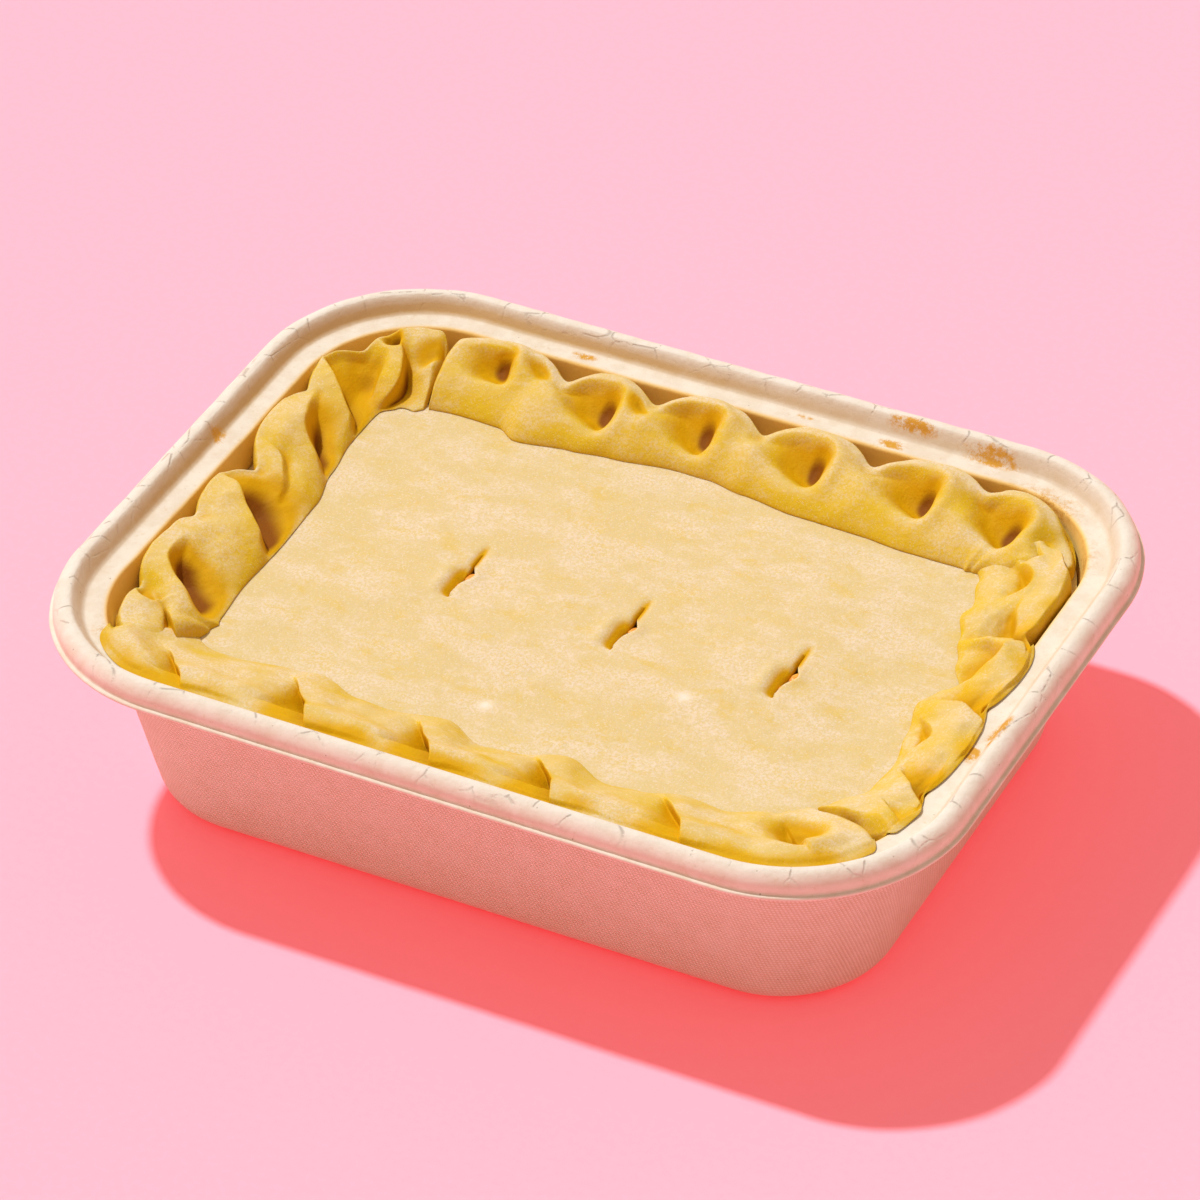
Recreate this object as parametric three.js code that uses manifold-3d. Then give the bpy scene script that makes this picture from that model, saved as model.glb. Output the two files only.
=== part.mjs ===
// A family pot pie in its moulded-fibre tray: tray, filling, pastry lid with three vent slits,
// and the thumb-crimped edge in four runs. Millimetres, +Z up. The origin is under the middle
// of the tray, on the surface it stands on, and +X runs along the tray's long side.
import * as THREE from "three";
import { mergeVertices } from "three/addons/utils/BufferGeometryUtils.js";
import Module from "manifold-3d";

// Tray outlines: length along X, width along Y, corner radius.
const rimOutline = { length: 230, width: 174, radius: 43 };
const baseOutline = { length: 186, width: 133, radius: 27 };
const trayHeight = 55.5;
const fibreThickness = 1.4;
const baseFillet = 5;
const smallestRadius = 4;

// Rim section: distances in from the outer edge, and drops below the crest of the bead.
const lipReach = 1;
const lipDrop = 4.7;
const lipThickness = 0.9;
const beadRadius = 3.4;
const beadHalfTurns = 0.7;
const slopeEnd = 8.2;
const shelfDrop = 4.3;
const wallInset = 13.6;

// Contents. Touching pieces keep the clearance between them.
const clearance = 0.35;
const lidTop = 44;
const lidThickness = 3;
const lidRise = 1.5;
const lidEdgeRound = 1;
const crownStart = 22;
const crownEnd = 62;

// Vent slits: cut across the tray's long side, in a row along it.
const slitLength = 17;
const slitWidth = 2.6;
const slitPlaces = [[-34, -4], [10, -5.5], [51.5, -5.5]];

// Crimped edge. Distances run anticlockwise along the tray's wall from the middle of the front.
// A thumb press dents the roll and pushes its outer edge out to the wall. The side that the
// thumb pushed towards is steep: hand is 1 where that is the way that distances grow.
const crimpRuns = [
  {
    name: "crimp_front",
    from: -96, to: 104, width: 18, height: 8, hand: 1,
    thumbs: [-78, -48, -19, 11, 43, 76],
  },
  {
    name: "crimp_right",
    from: 104.6, to: 228, width: 17, height: 8.2, hand: -1,
    thumbs: [125, 148, 174, 201, 221],
  },
  {
    name: "crimp_back",
    from: 228.6, to: 396, width: 22.5, height: 9.4, hand: -1,
    thumbs: [245, 268, 297, 326, 354, 381],
  },
  {
    name: "crimp_left",
    from: 396.6, to: 544, width: 21, height: 9, hand: 1,
    thumbs: [409, 430, 455, 488, 514, 535],
  },
];
const crimpStep = 3.2;
const crimpSides = 14;
const crimpFlatness = 0.8;
const crimpFoot = 0.35;
const crimpEndSize = 0.7;
const endTaper = 4;
const thumbDepth = 0.72;
const thumbMiddle = 0.4;
const thumbSpread = 0.25;
const thumbReachGentle = 9;
const thumbReachSteep = 6;
const thumbSlant = 7;
const scallopDepth = 3.2;

const pastryColour = 0xedcb84;
const fibreColour = 0xe2c8a4;
const fillingColour = 0xc8701c;

// How finely the curves are drawn.
const cornerSteps = 7;
const filletSteps = 4;
const beadSteps = 7;
const crownSteps = 5;
const slitSteps = 6;

function lerp(a, b, t) {
  return a + (b - a) * t;
}

function shrink(outline, inset) {
  return {
    length: outline.length - 2 * inset,
    width: outline.width - 2 * inset,
    radius: Math.max(outline.radius - inset, smallestRadius),
  };
}

// The tray's outer wall tapers in a straight line from under the shelf to the base.
const shelfUnderside = trayHeight - shelfDrop - fibreThickness;
const wallTopOutline = shrink(rimOutline, wallInset - fibreThickness);

function wallOutside(z) {
  const t = z / shelfUnderside;
  return {
    length: lerp(baseOutline.length, wallTopOutline.length, t),
    width: lerp(baseOutline.width, wallTopOutline.width, t),
    radius: lerp(baseOutline.radius, wallTopOutline.radius, t),
  };
}

function wallInside(z) {
  return shrink(wallOutside(z), fibreThickness);
}

// A level loop round a rounded rectangle, anticlockwise seen from above.
function outlineLoop(outline, z) {
  const loop = [];
  const cx = outline.length / 2 - outline.radius;
  const cy = outline.width / 2 - outline.radius;
  const corners = [[cx, cy], [-cx, cy], [-cx, -cy], [cx, -cy]];
  corners.forEach(([x, y], corner) => {
    for (let i = 0; i <= cornerSteps; i += 1) {
      const angle = ((corner + i / cornerSteps) * Math.PI) / 2;
      const dx = outline.radius * Math.cos(angle);
      const dy = outline.radius * Math.sin(angle);
      loop.push(new THREE.Vector3(x + dx, y + dy, z));
    }
  });
  return loop;
}

// Joins loops of equal count into one closed body: quads between neighbours and a fan at each
// end. A loop turns anticlockwise seen from the far end of the body.
function skin(loops) {
  const count = loops[0].length;
  const points = loops.flat();
  const faces = [];
  for (let row = 0; row < loops.length - 1; row += 1) {
    for (let i = 0; i < count; i += 1) {
      const a = row * count + i;
      const b = row * count + ((i + 1) % count);
      faces.push(a, b, b + count, a, b + count, a + count);
    }
  }
  const ends = [loops[0], loops[loops.length - 1]];
  ends.forEach((loop, end) => {
    const hub = points.length;
    const first = end * (loops.length - 1) * count;
    const middle = new THREE.Vector3();
    loop.forEach((point) => middle.addScaledVector(point, 1 / count));
    points.push(middle);
    for (let i = 0; i < count; i += 1) {
      const a = first + i;
      const b = first + ((i + 1) % count);
      faces.push(...(end === 0 ? [hub, b, a] : [hub, a, b]));
    }
  });
  const geometry = new THREE.BufferGeometry().setFromPoints(points);
  geometry.setIndex(faces);
  return geometry;
}

// Rounds a corner between two level loops: steps of inset and rise along a quarter circle.
function quarterCircle(radius, steps) {
  const places = [];
  for (let i = 0; i <= steps; i += 1) {
    const angle = (i / steps) * (Math.PI / 2);
    places.push({ inset: radius * (1 - Math.sin(angle)), rise: radius * (1 - Math.cos(angle)) });
  }
  return places;
}

function trayGeometry() {
  const rimLoop = (inset, drop) => outlineLoop(shrink(rimOutline, inset), trayHeight - drop);
  const beadMiddle = lipReach + beadRadius;
  const loops = [];

  for (const { inset, rise } of quarterCircle(baseFillet, filletSteps)) {
    loops.push(outlineLoop(shrink(wallOutside(rise), inset), rise));
  }
  loops.push(outlineLoop(wallTopOutline, shelfUnderside));

  // Underside of the rim, from the wall out to the lip.
  loops.push(rimLoop(slopeEnd - fibreThickness, shelfDrop + fibreThickness));
  loops.push(rimLoop(beadMiddle, fibreThickness));
  loops.push(rimLoop(lipReach + fibreThickness, beadRadius));
  loops.push(rimLoop(lipReach + fibreThickness, lipDrop + lipThickness));
  loops.push(rimLoop(0, lipDrop + lipThickness));

  // Outside and top of the rim, from the lip in to the wall.
  loops.push(rimLoop(0, lipDrop));
  loops.push(rimLoop(lipReach, lipDrop));
  for (let i = 0; i <= beadSteps; i += 1) {
    const angle = (i / beadSteps) * beadHalfTurns * Math.PI;
    const inset = beadMiddle - beadRadius * Math.cos(angle);
    loops.push(rimLoop(inset, beadRadius * (1 - Math.sin(angle))));
  }
  loops.push(rimLoop(slopeEnd, shelfDrop));
  loops.push(rimLoop(wallInset, shelfDrop));

  // Inside of the wall, down to the floor.
  for (const { inset, rise } of quarterCircle(baseFillet - fibreThickness, filletSteps - 1).reverse()) {
    const z = fibreThickness + rise;
    loops.push(outlineLoop(shrink(wallInside(z), inset), z));
  }
  return skin(loops);
}

function fillingGeometry() {
  const loops = [];
  for (const { inset, rise } of quarterCircle(baseFillet, filletSteps - 1)) {
    const z = fibreThickness + clearance + rise;
    loops.push(outlineLoop(shrink(wallInside(z), clearance + inset), z));
  }
  const top = lidTop - lidThickness - clearance;
  loops.push(outlineLoop(shrink(wallInside(top), clearance), top));
  return skin(loops);
}

// The lid is level under the crimped edge and crowned in the open middle.
function lidHeight(inset) {
  return lidTop + lidRise * THREE.MathUtils.smoothstep(inset, crownStart, crownEnd);
}

async function lidGeometry() {
  const outline = shrink(wallInside(lidTop - lidThickness), clearance);
  const loops = [];
  loops.push(outlineLoop(outline, lidTop - lidThickness));
  loops.push(outlineLoop(outline, lidTop - lidEdgeRound));
  loops.push(outlineLoop(shrink(outline, lidEdgeRound), lidTop));
  for (let i = 0; i <= crownSteps; i += 1) {
    const inset = lerp(crownStart, crownEnd, i / crownSteps);
    loops.push(outlineLoop(shrink(outline, inset), lidHeight(inset)));
  }
  return cut(skin(loops), slitPlaces.map(slitCutter));
}

// A slit is pointed at both ends and widest in the middle.
function slitCutter([x, y]) {
  const half = slitLength / 2;
  const shape = new THREE.Shape();
  shape.moveTo(0, -half);
  shape.quadraticCurveTo(slitWidth, 0, 0, half);
  shape.quadraticCurveTo(-slitWidth, 0, 0, -half);
  const depth = 4 * lidThickness;
  const geometry = new THREE.ExtrudeGeometry(shape, { depth, bevelEnabled: false, curveSegments: slitSteps });
  return geometry.translate(x, y, lidTop - 2 * lidThickness);
}

async function cut(geometry, cutters) {
  const library = await Module();
  library.setup();
  const solid = (source) => {
    const bare = source.clone();
    bare.deleteAttribute("normal");
    bare.deleteAttribute("uv");
    const merged = mergeVertices(bare);
    const vertProperties = new Float32Array(merged.attributes.position.array);
    const triVerts = new Uint32Array(merged.index.array);
    return new library.Manifold(new library.Mesh({ numProp: 3, vertProperties, triVerts }));
  };
  let body = solid(geometry);
  for (const cutter of cutters) {
    body = body.subtract(solid(cutter));
  }
  const mesh = body.getMesh();
  const result = new THREE.BufferGeometry();
  result.setAttribute("position", new THREE.BufferAttribute(mesh.vertProperties, 3));
  result.setIndex(Array.from(mesh.triVerts));
  return result;
}

// Crimps follow the wall at the height of the lid's top and lean out with its draft.
const crimpOutline = wallInside(lidTop);
const wallDraft = (wallTopOutline.width - baseOutline.width) / 2 / shelfUnderside;

// The point at a distance along the wall, moved in by inset: a straight side or a corner arc.
function wallPoint(distance, inset, z) {
  const { length, width, radius } = crimpOutline;
  const arc = (radius * Math.PI) / 2;
  const sides = [length - 2 * radius, width - 2 * radius];
  const perimeter = 2 * (sides[0] + sides[1]) + 4 * arc;
  let left = (distance + sides[0] / 2 + perimeter) % perimeter;
  let side = 0;
  while (left > sides[side % 2] + arc) {
    left -= sides[side % 2] + arc;
    side += 1;
  }
  const along = Math.min(left, sides[side % 2]);
  const turn = (left - along) / radius;
  const reach = radius - inset + wallDraft * (z - lidTop);
  const x = along - sides[side % 2] / 2 + reach * Math.sin(turn);
  const y = -sides[(side + 1) % 2] / 2 - reach * Math.cos(turn);
  return new THREE.Vector3(x, y, z).applyAxisAngle(new THREE.Vector3(0, 0, 1), (side * Math.PI) / 2);
}

// How strongly the nearest thumb press acts at a distance along the wall, from 0 to 1.
function thumbPress(run, distance) {
  const strengths = run.thumbs.map((thumb) => {
    const steep = (distance - thumb) * run.hand > 0;
    const reach = steep ? thumbReachSteep : thumbReachGentle;
    return Math.exp(-(((distance - thumb) / reach) ** 2));
  });
  return Math.max(...strengths);
}

// A closed section of the roll: a flattened oval, lowered in its middle by the thumb presses,
// which slant along the run, and drawn back from the wall between them.
function crimpSection(run, distance) {
  const fromEnd = Math.min(distance - run.from, run.to - distance);
  const size = lerp(crimpEndSize, 1, Math.sqrt(Math.min(fromEnd / endTaper, 1)));
  const draw = scallopDepth * (1 - thumbPress(run, distance));
  const bottom = lidTop + clearance;
  const height = run.height * size;
  const loop = [];
  for (let i = 0; i < crimpSides; i += 1) {
    const angle = (-2 * Math.PI * i) / crimpSides;
    const across = (1 - Math.cos(angle)) / 2;
    const press = thumbPress(run, distance + thumbSlant * run.hand * (thumbMiddle - across));
    const dent = thumbDepth * press * Math.exp(-(((across - thumbMiddle) / thumbSpread) ** 2));
    const lift = Math.abs(Math.sin(angle)) ** crimpFlatness;
    const onTop = Math.sin(angle) > 0;
    const rise = onTop ? lerp(crimpFoot, 1, lift * (1 - dent)) : crimpFoot * (1 - lift);
    const inset = 2 * clearance + lerp(draw, run.width * size, across);
    loop.push(wallPoint(distance, inset, bottom + height * rise));
  }
  return loop;
}

function crimpGeometry(run) {
  const steps = Math.round((run.to - run.from) / crimpStep);
  const loops = [];
  for (let i = 0; i <= steps; i += 1) {
    loops.push(crimpSection(run, lerp(run.from, run.to, i / steps)));
  }
  return skin(loops);
}

function named(name, geometry, color, roughness) {
  const material = new THREE.MeshStandardMaterial({ color, roughness, metalness: 0 });
  const mesh = new THREE.Mesh(geometry, material);
  mesh.name = name;
  return mesh;
}

const pie = new THREE.Group();
pie.add(named("tray", trayGeometry(), fibreColour, 0.85));
pie.add(named("filling", fillingGeometry(), fillingColour, 0.5));
pie.add(named("pastry_lid", await lidGeometry(), pastryColour, 0.75));
for (const run of crimpRuns) {
  pie.add(named(run.name, crimpGeometry(run), pastryColour, 0.75));
}

export default pie;
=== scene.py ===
import math
from itertools import product

import bpy
import numpy as np
from mathutils import Matrix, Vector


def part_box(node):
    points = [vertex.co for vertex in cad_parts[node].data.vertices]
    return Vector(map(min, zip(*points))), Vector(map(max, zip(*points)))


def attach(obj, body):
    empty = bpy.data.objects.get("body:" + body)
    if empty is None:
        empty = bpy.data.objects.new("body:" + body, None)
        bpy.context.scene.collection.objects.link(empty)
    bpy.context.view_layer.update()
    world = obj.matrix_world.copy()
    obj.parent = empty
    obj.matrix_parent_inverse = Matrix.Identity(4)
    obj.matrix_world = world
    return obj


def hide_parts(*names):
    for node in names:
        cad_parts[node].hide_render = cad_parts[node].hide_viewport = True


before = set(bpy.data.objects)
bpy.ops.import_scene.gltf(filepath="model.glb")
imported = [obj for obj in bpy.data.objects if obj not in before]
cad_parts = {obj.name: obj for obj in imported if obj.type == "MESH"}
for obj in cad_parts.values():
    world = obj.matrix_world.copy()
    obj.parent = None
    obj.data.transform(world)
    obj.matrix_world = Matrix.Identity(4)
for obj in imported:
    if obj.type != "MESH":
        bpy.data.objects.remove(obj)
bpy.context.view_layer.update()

# Every shape below is worked out in millimetres and stored in metres.
MM = 0.001

# The view: seen from the front right, from above.
VIEW_AZIMUTH = 28.30
VIEW_ELEVATION = 38.0
VIEW_ROLL = -1.90
VIEW_DISTANCE = 1.4967
VIEW_TARGET = (0.0053, -0.0092, 0.0529)
VIEW_LENS = 195.05

# Tray: its outer sizes come from the construction model. The floor's innermost ring lies
# FLOOR_RING in from the wall. The stations are those along a long leg, a short leg and a corner.
TRAY_LOW, TRAY_HIGH = (np.array(corner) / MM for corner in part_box("tray"))
RIM_LENGTH, RIM_WIDTH, TRAY_HEIGHT = TRAY_HIGH - TRAY_LOW
RIM_RADIUS = 43.0
BASE_LENGTH = 186.0
BASE_WIDTH = 133.0
BASE_RADIUS = 27.0
BASE_FILLET = 5.0
FLOOR_RING = 60.0
FIBRE = 1.4
TRAY_STATIONS = (130, 90, 66)

# Rim section: distances in from the outer edge and drops below the crest.
LIP_REACH = 1.0
LIP_DROP = 4.7
LIP_THICKNESS = 0.9
BEAD_RADIUS = 3.4
SLOPE_END = 8.2
SHELF_DROP = 4.3
WALL_INSET = 13.6

# The mark of the forming mesh on the outer wall.
WEAVE_PITCH = 1.0
WEAVE_RISE = 0.8
WEAVE_SLANT = 0.45

# Pastry lid: it rises by LID_RISE from its edge to its crown, on a grid of LID_GRID.
LID_HIGH = np.array(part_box("pastry_lid")[1]) / MM
LID_THICKNESS = 3.0
LID_RISE = 1.5
LID_CORNER = 28.0
LID_GRID = 0.76
LID_TOP = LID_HIGH[2] - LID_RISE

# Filling: it stays FILLING_GAP inside its construction box and FILLING_LIFT over the floor.
FILLING_LOW, FILLING_HIGH = (np.array(corner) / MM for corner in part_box("filling"))
FILLING_CORNER = 27.0
FILLING_GAP = 0.4
FILLING_TAPER = 0.2
FILLING_DRAW = 0.97
FILLING_LIFT = 0.3
FILLING_GRID = (150, 110)

# The tray's shelf and the outside of its wall's top, below the shelf.
SHELF_TOP = TRAY_HEIGHT - SHELF_DROP
SHELF_UNDERSIDE = SHELF_TOP - FIBRE
WALL_TOP_LENGTH = RIM_LENGTH - 2 * (WALL_INSET - FIBRE)
WALL_TOP_WIDTH = RIM_WIDTH - 2 * (WALL_INSET - FIBRE)
WALL_TOP_RADIUS = RIM_RADIUS - (WALL_INSET - FIBRE)

# The light: a low sun from the left and a little behind. The floor's own red glow and the warm
# sky near the horizon stand for the light that a pink room throws back.
SUN_TOWARD = (-0.476, 0.142, 0.868)
SUN_ENERGY = 2.95
SUN_ANGLE = 3.0
SUN_COLOUR = (0.95, 0.96, 1.0)
FLOOR_GLOW = 0.38
FLOOR_HALF = 3.0
SKY_ZENITH = (0.46, 0.38, 0.32)
SKY_HORIZON = (1.14, 0.54, 0.46)
SKY_BLEND = (0.1, 0.55)

# Vent slits: the middles of the cuts, their half length and how far the right lip draws back.
SLITS = ((-32.4, -4.4), (11.0, -6.0), (52.2, -5.8))
SLIT_HALF_LENGTH = 8.4
SLIT_GAPE = 2.1

# Crimped edge: the spacing of its sections, the points over and under each, and how far along
# the run a bulging end reaches.
RUN_STEP = 0.36
RUN_TOP = 124
RUN_UNDER = 22
BOW_REACH = 12.0

# Carrot dice: where two lie from each slit's middle, their half sizes, the points round and up
# each, and the height of their middles. Then two dabs of flour paste on the lid.
BIT_PLACES = ((1.1, 0.4), (0.5, -4.0))
BIT_SIZE = (1.2, 1.7, 1.1)
BIT_POINTS = (28, 17)
BIT_MIDDLE = LID_TOP - 1.1
DABS = ((34.0, -24.0), (-6.0, -45.0))
DAB_RADIUS = 1.6


# ---------------------------------------------------------------- numbers

def smooth(t):
    """Eases from 0 to 1: three t squared less two t cubed, with t held between 0 and 1."""
    t = np.clip(t, 0.0, 1.0)
    return t * t * (3.0 - 2.0 * t)


def round_edge(t):
    """A quarter circle: 0 at t = 0, rising steeply, and 1 from t = 1 on."""
    return np.sqrt(np.clip(1.0 - (1.0 - np.clip(t, 0.0, 1.0)) ** 2, 0.0, 1.0))


def through(places, t):
    """A smooth line through (t, value) pairs: each span eases from one value to the next."""
    places = np.array(sorted(places), float)
    index = np.clip(np.searchsorted(places[:, 0], t) - 1, 0, len(places) - 2)
    span = places[index + 1, 0] - places[index, 0]
    part = smooth((t - places[index, 0]) / span)
    return places[index, 1] + part * (places[index + 1, 1] - places[index, 1])


def noise(points, size, seed):
    """A smooth random field, about -1 to 1: random slopes at the corners of cubes of the given
    size, each faded into the next by the quintic 6t^5 - 15t^4 + 10t^3."""
    rng = np.random.default_rng(seed)
    slopes = rng.normal(size=(256, 3))
    slopes /= np.linalg.norm(slopes, axis=1, keepdims=True)
    order = rng.permutation(256)
    scaled = points.reshape(-1, 3) / size
    cell = np.floor(scaled).astype(int)
    part = scaled - cell
    fade = part ** 3 * (part * (part * 6.0 - 15.0) + 10.0)
    total = np.zeros(len(scaled))
    for corner in product((0, 1), repeat=3):
        x, y, z = ((cell + corner) & 255).T
        slope = slopes[order[(order[(order[x] + y) & 255] + z) & 255]]
        weight = np.prod(np.where(corner, fade, 1.0 - fade), axis=1)
        total += weight * np.einsum("ij,ij->i", slope, part - corner)
    return 1.6 * total.reshape(points.shape[:-1])


# ---------------------------------------------------------------- meshes

def grid_faces(rows, columns, wrap, first=0):
    """Quads over a rows by columns grid of vertices. wrap joins the last column to the first."""
    span = columns if wrap else columns - 1
    row, column = np.meshgrid(np.arange(rows - 1), np.arange(span), indexing="ij")
    after = (column + 1) % columns
    corners = (
        row * columns + column,
        row * columns + after,
        (row + 1) * columns + after,
        (row + 1) * columns + column,
    )
    return first + np.stack(corners, axis=-1).reshape(-1, 4)


def fan_faces(ring, hub, reverse):
    """Triangles from a ring of vertex numbers to one hub vertex."""
    after = np.roll(ring, -1)
    hubs = np.full_like(ring, hub)
    faces = np.stack((ring, after, hubs), axis=-1)
    return faces[:, ::-1] if reverse else faces


def capped_faces(rows, around, first=0):
    """Quads over rows rings of around vertices, and the fans that close the first and the last
    ring to two hub vertices, numbered after the rings."""
    hub = first + rows * around
    ring = first + np.arange(around)
    caps = np.concatenate((
        fan_faces(ring, hub, reverse=True),
        fan_faces(ring + (rows - 1) * around, hub + 1, reverse=False),
    ))
    return grid_faces(rows, around, wrap=True, first=first), caps


def grid_outline(number):
    """The vertex numbers round the outside of a grid, anticlockwise from its first corner."""
    return np.concatenate((number[0, :], number[1:, -1], number[-1, -2::-1], number[-2:0:-1, 0]))


def on_plane(x, y, z=0.0):
    """Points at x, y and one height, or at a height for each."""
    return np.stack((x, y, np.broadcast_to(z, np.shape(x))), axis=-1)


def mesh_object(name, points, face_sets, material, fields=None, uv=None):
    """A smooth mesh from points in millimetres and arrays of quads and triangles. fields are
    named values per vertex, and uv is one pair per face corner."""
    mesh = bpy.data.meshes.new(name)
    points = np.asarray(points, float).reshape(-1, 3)
    sizes = np.concatenate([np.full(len(faces), faces.shape[1]) for faces in face_sets])
    corners = np.concatenate([faces.ravel() for faces in face_sets])
    mesh.vertices.add(len(points))
    mesh.vertices.foreach_set("co", (points * MM).astype(np.float32).ravel())
    mesh.loops.add(len(corners))
    mesh.loops.foreach_set("vertex_index", corners.astype(np.int32))
    mesh.polygons.add(len(sizes))
    starts = np.concatenate(([0], np.cumsum(sizes)[:-1]))
    mesh.polygons.foreach_set("loop_start", starts.astype(np.int32))
    mesh.polygons.foreach_set("use_smooth", np.ones(len(sizes), bool))
    mesh.update(calc_edges=True)
    for field, values in (fields or {}).items():
        attribute = mesh.attributes.new(field, "FLOAT", "POINT")
        attribute.data.foreach_set("value", np.asarray(values, np.float32).ravel())
    if uv is not None:
        layer = mesh.uv_layers.new(name="surface")
        layer.data.foreach_set("uv", np.asarray(uv, np.float32).ravel())
    mesh.validate()
    mesh.materials.append(material)
    piece = bpy.data.objects.new(name, mesh)
    bpy.context.scene.collection.objects.link(piece)
    return piece


def add_piece(piece, slot, *replaced):
    """Fixes a finished piece to the pie and hides the construction nodes it stands for."""
    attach(piece, "root")
    if replaced:
        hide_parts(*replaced)
    return piece


# ---------------------------------------------------------------- rounded rectangles

def legs(straight_long, straight_short, corner):
    """Stations round a rounded rectangle, anticlockwise from the front left: for each, the leg
    (0 front, 1 right, 2 back, 3 left), the place along its straight from -1 to 1, and the turn
    round the corner after it, in radians."""
    leg, along, turn = [], [], []
    for number in range(4):
        count = straight_long if number % 2 == 0 else straight_short
        leg.append(np.full(count + corner, number))
        along.append(np.concatenate((np.linspace(-1, 1, count, endpoint=False), np.ones(corner))))
        quarter = np.linspace(0, math.pi / 2, corner, endpoint=False)
        turn.append(np.concatenate((np.zeros(count), quarter)))
    return np.concatenate(leg), np.concatenate(along), np.concatenate(turn)


def rounded(length, width, radius, leg, along, turn):
    """The point of a rounded rectangle at each station. In its leg's own frame it lies at
    along x half straight + radius x sin(turn), and at -(half width - radius) - radius x cos(turn),
    turned by a quarter for each leg."""
    long_leg = leg % 2 == 0
    straight = np.where(long_leg, length, width) / 2 - radius
    across = np.where(long_leg, width, length) / 2 - radius
    x = along * straight + radius * np.sin(turn)
    y = -across - radius * np.cos(turn)
    angle = leg * (math.pi / 2)
    return x * np.cos(angle) - y * np.sin(angle), x * np.sin(angle) + y * np.cos(angle)


def wall_sizes(z, inset):
    """Length, width and radius of the tapered wall at a height: a straight blend from the base
    to the top of the wall, moved in by inset from the outside."""
    part = z / SHELF_UNDERSIDE
    length = BASE_LENGTH + part * (WALL_TOP_LENGTH - BASE_LENGTH) - 2 * inset
    width = BASE_WIDTH + part * (WALL_TOP_WIDTH - BASE_WIDTH) - 2 * inset
    radius = BASE_RADIUS + part * (WALL_TOP_RADIUS - BASE_RADIUS) - inset
    return length, width, radius


# ---------------------------------------------------------------- materials

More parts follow.
